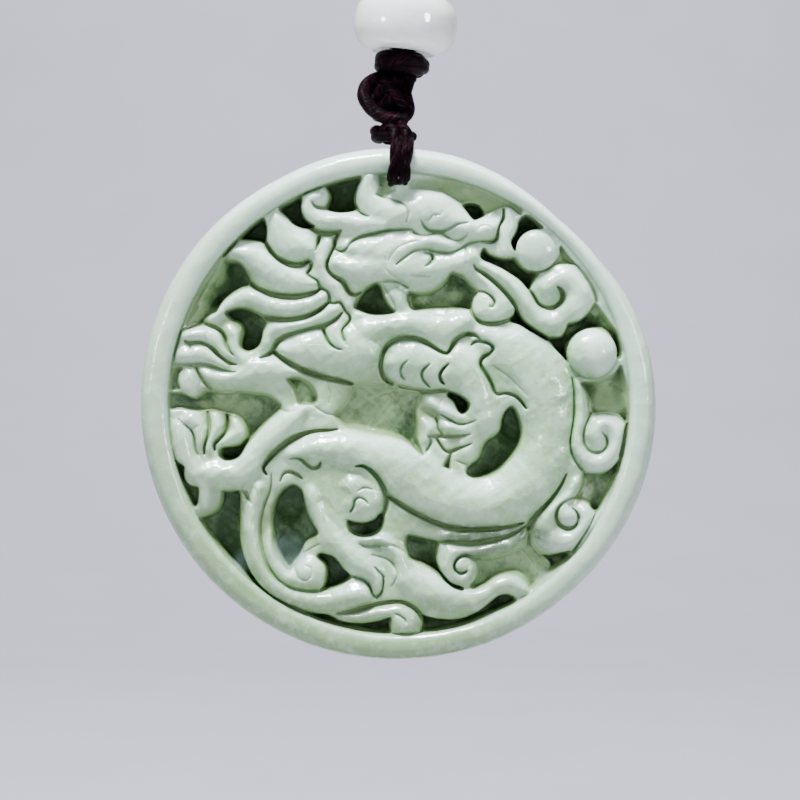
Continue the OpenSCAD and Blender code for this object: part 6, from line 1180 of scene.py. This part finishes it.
at = np.empty(len(mesh.vertices) * 3)
mesh.vertices.foreach_get("co", at)
at = at.reshape(-1, 3) / mm + [0, 0, hang["hangHeight"]]
inField = np.hypot(at[:, 0], at[:, 2]) < stone["fieldRadius"] + stone["reading"]["frontReach"]
front = (at[:, 1] < stone["reading"]["frontDepth"]) & inField
for label, field in readings().items():
    layer = mesh.attributes.new(label, "FLOAT", "POINT")
    values = np.where(front, sampleAt(field, at[:, 0] / stone["unit"], at[:, 2] / stone["unit"]), 0)
    layer.data.foreach_set("value", values.astype(np.float32))
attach(carvedStone, "disc")
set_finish(carvedStone, "jade")
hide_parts("carved_disc")
print("stone carved,", sum(len(p.vertices) - 2 for p in mesh.polygons), "triangles")


# Materials. A value is a number, a colour or another node's output
def feed(tree, socket, value):
    if isinstance(value, (int, float)):
        socket.default_value = value
    elif isinstance(value, tuple):
        socket.default_value = (*value, 1)
    else:
        tree.links.new(value, socket)


def mathNode(tree, operation, first, *others, clamp=False):  # several values are taken one after another
    for other in others or (0.0,):
        node = tree.nodes.new("ShaderNodeMath")
        node.operation = operation
        feed(tree, node.inputs[0], first)
        feed(tree, node.inputs[1], other)
        first = node.outputs[0]
    node.use_clamp = clamp
    return first


def noiseNode(tree, vector, scale, detail, roughness):
    node = tree.nodes.new("ShaderNodeTexNoise")
    for label, value in (("Vector", vector), ("Scale", scale), ("Detail", detail), ("Roughness", roughness)):
        feed(tree, node.inputs[label], value)
    return node.outputs["Fac"]


def rangeNode(tree, value, low, high, toLow=0.0, toHigh=1.0):
    node = tree.nodes.new("ShaderNodeMapRange")
    node.interpolation_type = "SMOOTHSTEP"
    labels = ("Value", "From Min", "From Max", "To Min", "To Max")
    for label, number in zip(labels, (value, low, high, toLow, toHigh)):
        feed(tree, node.inputs[label], number)
    return node.outputs["Result"]


def mixColour(tree, factor, a, b):
    node = tree.nodes.new("ShaderNodeMix")
    node.data_type = "RGBA"
    for number, value in ((0, factor), (6, a), (7, b)):  # the factor and the two colours
        feed(tree, node.inputs[number], value)
    return node.outputs[2]


def attributeNode(tree, label):
    node = tree.nodes.new("ShaderNodeAttribute")
    node.attribute_name = label
    return node.outputs["Fac"]


def splitNode(tree, vector):  # its X, Y and Z
    node = tree.nodes.new("ShaderNodeSeparateXYZ")
    tree.links.new(vector, node.inputs[0])
    return node.outputs


def bumpNode(tree, height, distance):
    node = tree.nodes.new("ShaderNodeBump")
    node.inputs["Distance"].default_value = distance
    tree.links.new(height, node.inputs["Height"])
    return node.outputs["Normal"]


def newGroup(name, inputs, outputs):  # the group, what it is given and what it puts out
    group = bpy.data.node_groups.new(name, "ShaderNodeTree")
    for label, value in inputs.items():
        kind = "NodeSocketVector" if isinstance(value, tuple) else "NodeSocketFloat"
        socket = group.interface.new_socket(label, in_out="INPUT", socket_type=kind)
        socket.default_value = value
    for label in outputs:
        group.interface.new_socket(label, in_out="OUTPUT", socket_type="NodeSocketFloat")
    return group, group.nodes.new("NodeGroupInput").outputs, group.nodes.new("NodeGroupOutput").inputs


# Milky clouds inside a stone: slow patches with wisps and veins in them
cloudShape = {
    "slow": (4.0, 0.6), "fine": (5.0, 0.62), "veined": (5.0, 0.55),  # detail and roughness of the noises
    "scales": {"slow": 1.0, "fine": 3.7, "veined": 1.9},  # times the scale of the patches
    "patches": (0.41, 0.60), "wisps": (0.46, 0.68), "veinPatches": (0.42, 0.56), "veinHalf": 0.03,
}


def milkyCloudsGroup():
    inputs = {"Vector": (0, 0, 0), "Patch Size": 0.012, "Wisps": 0.4}
    group, given, put = newGroup("milkyClouds", inputs, ["Clouds", "Wisps", "Veins"])
    scale = mathNode(group, "DIVIDE", 1.0, given["Patch Size"])

    def noise(name, times):
        return noiseNode(group, given["Vector"], mathNode(group, "MULTIPLY", scale, times), *cloudShape[name])

    slow, fine, veined = (noise(name, times) for name, times in cloudShape["scales"].items())
    wisps = rangeNode(group, fine, *cloudShape["wisps"])
    patches = rangeNode(group, slow, *cloudShape["patches"])
    clouds = mathNode(group, "ADD", patches, mathNode(group, "MULTIPLY", wisps, given["Wisps"]), clamp=True)
    fromMiddle = mathNode(group, "ABSOLUTE", mathNode(group, "SUBTRACT", veined, 0.5))
    veins = rangeNode(group, fromMiddle, 0.0, cloudShape["veinHalf"], 1.0, 0.0)
    veins = mathNode(group, "MULTIPLY", veins, rangeNode(group, slow, *cloudShape["veinPatches"]))
    for label, value in (("Clouds", clouds), ("Wisps", wisps), ("Veins", veins)):
        group.links.new(value, put[label])
    return group


# Hand polish: shallow scoops of the tool, soft waves and fine scratches
polishShape = {
    "waves": (700.0, 2.0, 0.5), "waveShare": 0.5,  # scale, detail and roughness of the noises
    "turned": (0.3, 0.9, 0.5), "stretched": (700, 9000, 2600),
    "fine": (1.0, 3.0, 0.6), "scratches": (0.58, 0.72), "scratchDepth": 0.13, "scratchDullness": 0.12,
    "cells": 620.0, "cellRound": 2.0,
    "dull": (260.0, 3.0, 0.5), "dullRange": (0.4, 0.7, 0.0, 0.12),
}


def handPolishGroup():
    inputs = {"Vector": (0, 0, 0), "Base Roughness": 0.2, "Scratches": 0.3, "Scoops": 0.5}
    group, given, put = newGroup("handPolish", inputs, ["Height", "Roughness"])
    where = given["Vector"]
    waves = noiseNode(group, where, *polishShape["waves"])
    stretch = group.nodes.new("ShaderNodeMapping")
    stretch.inputs["Rotation"].default_value = polishShape["turned"]
    stretch.inputs["Scale"].default_value = polishShape["stretched"]
    group.links.new(where, stretch.inputs["Vector"])
    fine = noiseNode(group, stretch.outputs["Vector"], *polishShape["fine"])
    scratches = mathNode(group, "MULTIPLY", rangeNode(group, fine, *polishShape["scratches"]), given["Scratches"])
    cells = group.nodes.new("ShaderNodeTexVoronoi")
    cells.inputs["Scale"].default_value = polishShape["cells"]
    group.links.new(where, cells.inputs["Vector"])
    rounded = mathNode(group, "POWER", cells.outputs["Distance"], polishShape["cellRound"])
    scoops = mathNode(group, "MULTIPLY", rounded, given["Scoops"])
    height = mathNode(
        group, "SUBTRACT", mathNode(group, "MULTIPLY", waves, polishShape["waveShare"]),
        mathNode(group, "MULTIPLY", scratches, polishShape["scratchDepth"]),
    )
    dull = rangeNode(group, noiseNode(group, where, *polishShape["dull"]), *polishShape["dullRange"])
    scratched = mathNode(group, "MULTIPLY", scratches, polishShape["scratchDullness"])
    group.links.new(mathNode(group, "ADD", height, scoops), put["Height"])
    group.links.new(mathNode(group, "ADD", given["Base Roughness"], scratched, dull), put["Roughness"])
    return group


milkyClouds, handPolish = milkyCloudsGroup(), handPolishGroup()


def startMaterial(name, sockets):
    material = bpy.data.materials.new(name)
    material.use_nodes = True
    shader = material.node_tree.nodes["Principled BSDF"]
    for label, value in sockets.items():
        shader.inputs[label].default_value = value
    return material, material.node_tree, shader


def useGroup(tree, group, vector, values):
    node = tree.nodes.new("ShaderNodeGroup")
    node.node_tree = group
    tree.links.new(vector, node.inputs["Vector"])
    for label, value in values.items():
        node.inputs[label].default_value = value
    return node.outputs


milk = (0.75, 0.90, 0.83)
jadeLook = {
    "pale": (0.43, 0.625, 0.41), "cloud": (0.22, 0.40, 0.20), "cloudShare": 0.68, "rimCloudShare": 0.25,
    "tints": {  # colour and share of what is laid over the clouds, in this order
        # painted shade: greener and darker towards the bottom of the disc
        "foot": ((0.27, 0.41, 0.18), 0.45),
        # painted light: whiter towards the top of the disc
        "head": (milk, 0.5),
        # painted light: paler where the stone stands proud of its surroundings
        "crest": ((0.58, 0.76, 0.61), 0.28),
        # painted shade: darker green on faces turned down
        "under": ((0.16, 0.28, 0.10), 0.62),
        # painted light: bluish white on faces turned up
        "upper": ((0.72, 0.88, 0.90), 0.5),
        # painted shade on the lower-lying forms listed in shades
        "shade": ((0.088, 0.145, 0.066), 1.0),
        # painted shade: darker olive on the rim towards the bottom
        "rimFootShade": ((0.13, 0.215, 0.08), 0.55),
        # painted light: whiter on the right of the rim
        "rimRightLight": (milk, 0.35),
        "rimLeft": ((0.52, 0.60, 0.53), 0.5),
        "wisps": (milk, 0.2),
        "veins": (milk, 0.06),
        # painted shade: green where the stone lies below its wider surroundings, beside the raised forms
        "flank": ((0.17, 0.32, 0.12), 0.7),
        # painted shade: dark green in the narrow grooves
        "hollow": ((0.052, 0.135, 0.030), 1.0),
    },
    # the first two colours are painted shade in the pockets, darker with depth and mottled at random; the third is a
    # painted bluish reflection
    "floor": (0.205, 0.315, 0.142), "deep": (0.046, 0.112, 0.030), "frost": (0.44, 0.54, 0.58),
    "floorGrain": (900.0, 5.0, 0.65), "floorMottle": (0.3, 0.7, 0.25, -0.25), "floorShade": (0.4, 1.1),
    "floorEdge": (0.08, 0.3), "reflectionInClouds": (0.9, 0.1, 0.35, 0.9), "floorDullness": 0.4,
    "clouds": {"Patch Size": 0.0048, "Wisps": 0.45},
    "polish": {"Base Roughness": 0.15, "Scratches": 0.45, "Scoops": 0.42},
    "bump": 0.00028, "rimCalm": 0.6,
    "shader": {
        "Subsurface Weight": 0.25, "Subsurface Radius": (1.0, 1.25, 0.8), "Subsurface Scale": 0.0003, "IOR": 1.61,
    },
    "places": {  # of the tints, in metres from the middle of the disc: none at the first value, full at the second
        "foot": (0.012, -0.022), "head": (0.006, 0.026), "left": (-0.012, -0.022), "right": (0.004, 0.020),
        "rim": (0.0187, 0.0198), "rimDepth": (0.0022, -0.0004),
        # under and upper place the painted shade and painted light by the way each face turns
        "under": (0.46, -0.45), "upper": (0.58, 0.92), "tiltUp": 0.8, "tiltOut": 0.5,  # by the way the stone faces
    },
}


def jadeMaterial():
    look, places = jadeLook, jadeLook["places"]
    material, tree, shader = startMaterial("jade", look["shader"])
    spot = tree.nodes.new("ShaderNodeTexCoord").outputs
    where = spot["Object"]
    clouds = useGroup(tree, milkyClouds, where, look["clouds"])
    polish = useGroup(tree, handPolish, where, look["polish"])
    at, facing = splitNode(tree, where), splitNode(tree, spot["Normal"])
    middle = -hang["hangHeight"] * mm

    def times(*values):
        return mathNode(tree, "MULTIPLY", *values)

    # where the painted shade towards the bottom and the painted light towards the top fall
    foot, head = (rangeNode(tree, at["Z"], *(middle + height for height in places[end])) for end in ("foot", "head"))
    left, right = (rangeNode(tree, at["X"], *places[side]) for side in ("left", "right"))
    fromMiddle = tree.nodes.new("ShaderNodeVectorMath")
    fromMiddle.operation = "DISTANCE"
    tree.links.new(where, fromMiddle.inputs[0])
    fromMiddle.inputs[1].default_value = (0, 0, middle)
    rim = rangeNode(tree, fromMiddle.outputs["Value"], *places["rim"])
    rim = times(rim, rangeNode(tree, at["Y"], *places["rimDepth"]))
    # how far each face turns up, for the painted shade below and the painted light above
    tiltOut = times(mathNode(tree, "ABSOLUTE", facing["Y"]), places["tiltOut"])
    tilt = mathNode(tree, "ADD", times(facing["Z"], places["tiltUp"]), tiltOut)
    masks = {
        "foot": foot, "head": head, "rimFootShade": times(rim, foot), "rimRightLight": times(rim, right),
        "rimLeft": times(rim, left, mathNode(tree, "SUBTRACT", 1.0, foot)),
        "under": rangeNode(tree, tilt, *places["under"]), "upper": rangeNode(tree, tilt, *places["upper"]),
        "wisps": clouds["Wisps"], "veins": clouds["Veins"],
    }
    for label in ("crest", "shade", "flank", "hollow"):
        masks[label] = attributeNode(tree, label)
    cloudShare = mathNode(tree, "SUBTRACT", look["cloudShare"], times(rim, look["rimCloudShare"]))
    body = mixColour(tree, times(clouds["Clouds"], cloudShare), look["pale"], look["cloud"])
    for label, (colour, share) in look["tints"].items():
        body = mixColour(tree, times(masks[label], share), body, colour)
    # pocket floors: painted shade, darker the deeper they lie, with a random mottle
    depth = attributeNode(tree, "depth")
    mottle = rangeNode(tree, noiseNode(tree, where, *look["floorGrain"]), *look["floorMottle"])
    mottled = rangeNode(tree, mathNode(tree, "ADD", depth, mottle), *look["floorShade"])
    floor = mixColour(tree, mottled, look["floor"], look["deep"])
    body = mixColour(tree, rangeNode(tree, depth, *look["floorEdge"]), body, floor)
    # painted reflection: bluish white patches, fainter where the milky clouds are
    reflectedShare = times(attributeNode(tree, "frost"), rangeNode(tree, clouds["Clouds"], *look["reflectionInClouds"]))
    tree.links.new(mixColour(tree, reflectedShare, body, look["frost"]), shader.inputs["Base Color"])
    dullness = mathNode(tree, "ADD", polish["Roughness"], times(depth, look["floorDullness"]))
    tree.links.new(dullness, shader.inputs["Roughness"])
    calm = mathNode(tree, "SUBTRACT", 1.0, times(rim, look["rimCalm"]))  # the rim is polished smoother
    tree.links.new(bumpNode(tree, times(polish["Height"], calm), look["bump"]), shader.inputs["Normal"])
    return material


agateLook = {
    # the third colour is painted light: warm cream at the bead's outline, where it turns from view
    "milk": (0.98, 0.96, 0.93), "veil": (0.82, 0.85, 0.88), "edge": (0.98, 0.90, 0.80), "edgeBlend": 0.35,
    "clouds": {"Patch Size": 0.004, "Wisps": 0.3},
    "polish": {"Base Roughness": 0.03, "Scratches": 0.0, "Scoops": 0.0}, "gloss": (0.03, 0.2, 0.03, 0.08),
    "shader": {
        "Subsurface Weight": 0.7, "Subsurface Radius": (1.0, 0.95, 0.9), "Subsurface Scale": 0.0015, "IOR": 1.54,
        "Specular IOR Level": 0.9, "Coat Weight": 1.0,
    },
}


def agateMaterial():
    look = agateLook
    material, tree, shader = startMaterial("agate", look["shader"])
    where = tree.nodes.new("ShaderNodeTexCoord").outputs["Object"]
    clouds = useGroup(tree, milkyClouds, where, look["clouds"])
    polish = useGroup(tree, handPolish, where, look["polish"])
    colour = mixColour(tree, clouds["Clouds"], look["milk"], look["veil"])
    # painted light: the bead's outline turns warm cream by the angle it faces the view
    edge = tree.nodes.new("ShaderNodeLayerWeight")
    edge.inputs["Blend"].default_value = look["edgeBlend"]
    tree.links.new(mixColour(tree, edge.outputs["Facing"], colour, look["edge"]), shader.inputs["Base Color"])
    tree.links.new(rangeNode(tree, polish["Roughness"], *look["gloss"]), shader.inputs["Roughness"])
    return material


satinLook = {
    "dark": (0.0004, 0.0001, 0.0003), "lit": (0.030, 0.0040, 0.0120), "litFrom": (0.52, 0.64),
    "fibres": (3.4, 4.0, 0.6), "pitch": 3.2, "drawnOut": 0.12, "gloss": (0.3, 0.7, 0.43, 0.19), "bump": 0.00022,
    "shader": {"Specular IOR Level": 0.06, "Specular Tint": (1.0, 0.66, 0.82, 1)},
}


def satinMaterial():  # fibres that wind round the cord
    look = satinLook
    material, tree, shader = startMaterial("satinCord", look["shader"])
    along, around = attributeNode(tree, "along"), attributeNode(tree, "around")
    turned = mathNode(tree, "ADD", around, mathNode(tree, "DIVIDE", along, look["pitch"]))
    angle = mathNode(tree, "MULTIPLY", turned, 2 * math.pi)
    joined = tree.nodes.new("ShaderNodeCombineXYZ")
    tree.links.new(mathNode(tree, "COSINE", angle), joined.inputs["X"])
    tree.links.new(mathNode(tree, "SINE", angle), joined.inputs["Y"])
    tree.links.new(mathNode(tree, "MULTIPLY", along, look["drawnOut"]), joined.inputs["Z"])
    fibre = noiseNode(tree, joined.outputs["Vector"], *look["fibres"])
    # painted sheen: fibres where the noise runs high are painted lit maroon, the rest stay near black
    tint = mixColour(tree, rangeNode(tree, fibre, *look["litFrom"]), look["dark"], look["lit"])
    tree.links.new(tint, shader.inputs["Base Color"])
    tree.links.new(rangeNode(tree, fibre, *look["gloss"]), shader.inputs["Roughness"])
    tree.links.new(bumpNode(tree, fibre, look["bump"]), shader.inputs["Normal"])
    return material


finishes = {"jade": jadeMaterial(), "agate": agateMaterial(), "satin_cord": satinMaterial()}
for piece in list(bpy.data.objects):  # only the pieces made here, none of the CAD's own
    slotName = piece.get("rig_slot")
    if piece.type == "MESH" and slotName and piece.name[:1].islower() and "_" not in piece.name:
        piece.data.materials.clear()
        piece.data.materials.append(finishes[slotName])
print("materials set")

# A pale floor that sweeps up into the backdrop
stage = {
    "floorDrop": 0.030, "wallBack": 0.55, "sweep": 0.30, "steps": 24, "front": 2.4, "halfWidth": 2.2, "height": 1.4,
    "colour": (0.37, 0.36, 0.42), "patchy": (0.33, 0.32, 0.38), "patches": (40.0, 3.0, 0.5),
    "shader": {"Roughness": 0.85},
}


def backdrop():
    floor = place(0, 0, -hang["discRadius"])[2] - stage["floorDrop"]
    back, sweep = stage["wallBack"], stage["sweep"]
    profile = [(-stage["front"], floor)]
    for k in range(stage["steps"] + 1):
        a = math.pi / 2 * k / stage["steps"]
        profile.append((back - sweep + sweep * math.sin(a), floor + sweep * (1 - math.cos(a))))
    profile.append((back, floor + stage["height"]))
    points = [(x, y, z) for y, z in profile for x in (-stage["halfWidth"], stage["halfWidth"])]
    faces = [(2 * i, 2 * i + 1, 2 * i + 3, 2 * i + 2) for i in range(len(profile) - 1)]
    sheet = bpy.data.meshes.new("backdrop")
    sheet.from_pydata(points, [], faces)
    sheet.polygons.foreach_set("use_smooth", np.ones(len(sheet.polygons), bool))
    piece = newObject("backdrop", sheet)
    material, tree, shader = startMaterial("paper", stage["shader"])
    where = tree.nodes.new("ShaderNodeTexCoord").outputs["Object"]
    soft = noiseNode(tree, where, *stage["patches"])
    tree.links.new(mixColour(tree, soft, stage["colour"], stage["patchy"]), shader.inputs["Base Color"])
    sheet.materials.append(material)


backdrop()

# Soft studio light: one large key from above and to the left, a fill from the top, a light for the backdrop,
# and one low lamp on each side. Places are in metres from the middle of the disc
lamps = {
    "wall": {
        "at": (0.0, 0.12, 0.42), "towards": (0.0, 0.62, 0.30), "size": 0.30, "power": 4.2,
        "colour": (0.97, 0.96, 1.0),
    },
    "key": {"at": (-0.07, -0.13, 0.40), "size": 0.11, "power": 7.2, "colour": (0.93, 0.99, 0.985)},
    "top": {"at": (0.08, -0.05, 0.40), "size": 0.20, "power": 1.0, "colour": (0.95, 0.98, 1.0)},
    "left": {"at": (-0.335, -0.300, 0.085), "size": 0.095, "power": 0.6, "colour": (1.0, 1.0, 1.0)},
    "right": {"at": (0.335, -0.300, 0.085), "size": 0.100, "power": 0.9, "colour": (0.96, 0.98, 1.0)},
}
studio = {"Color": (0.80, 0.82, 0.86, 1), "Strength": 0.09}
discMiddle = Vector(place(0, 0, 0))
for name, lamp in lamps.items():
    light = bpy.data.lights.new(name, "AREA")
    light.shape = "DISK"
    light.size = lamp["size"]
    light.energy = lamp["power"]
    light.color = lamp["colour"]
    holder = newObject(name, light)
    holder.location = discMiddle + Vector(lamp["at"])
    target = discMiddle + Vector(lamp.get("towards", (0, 0, 0)))
    holder.rotation_euler = (target - holder.location).to_track_quat("-Z", "Y").to_euler()
world = bpy.data.worlds.new("studio")
world.use_nodes = True
for label, value in studio.items():
    world.node_tree.nodes["Background"].inputs[label].default_value = value
bpy.context.scene.world = world
print("stage and lights set")
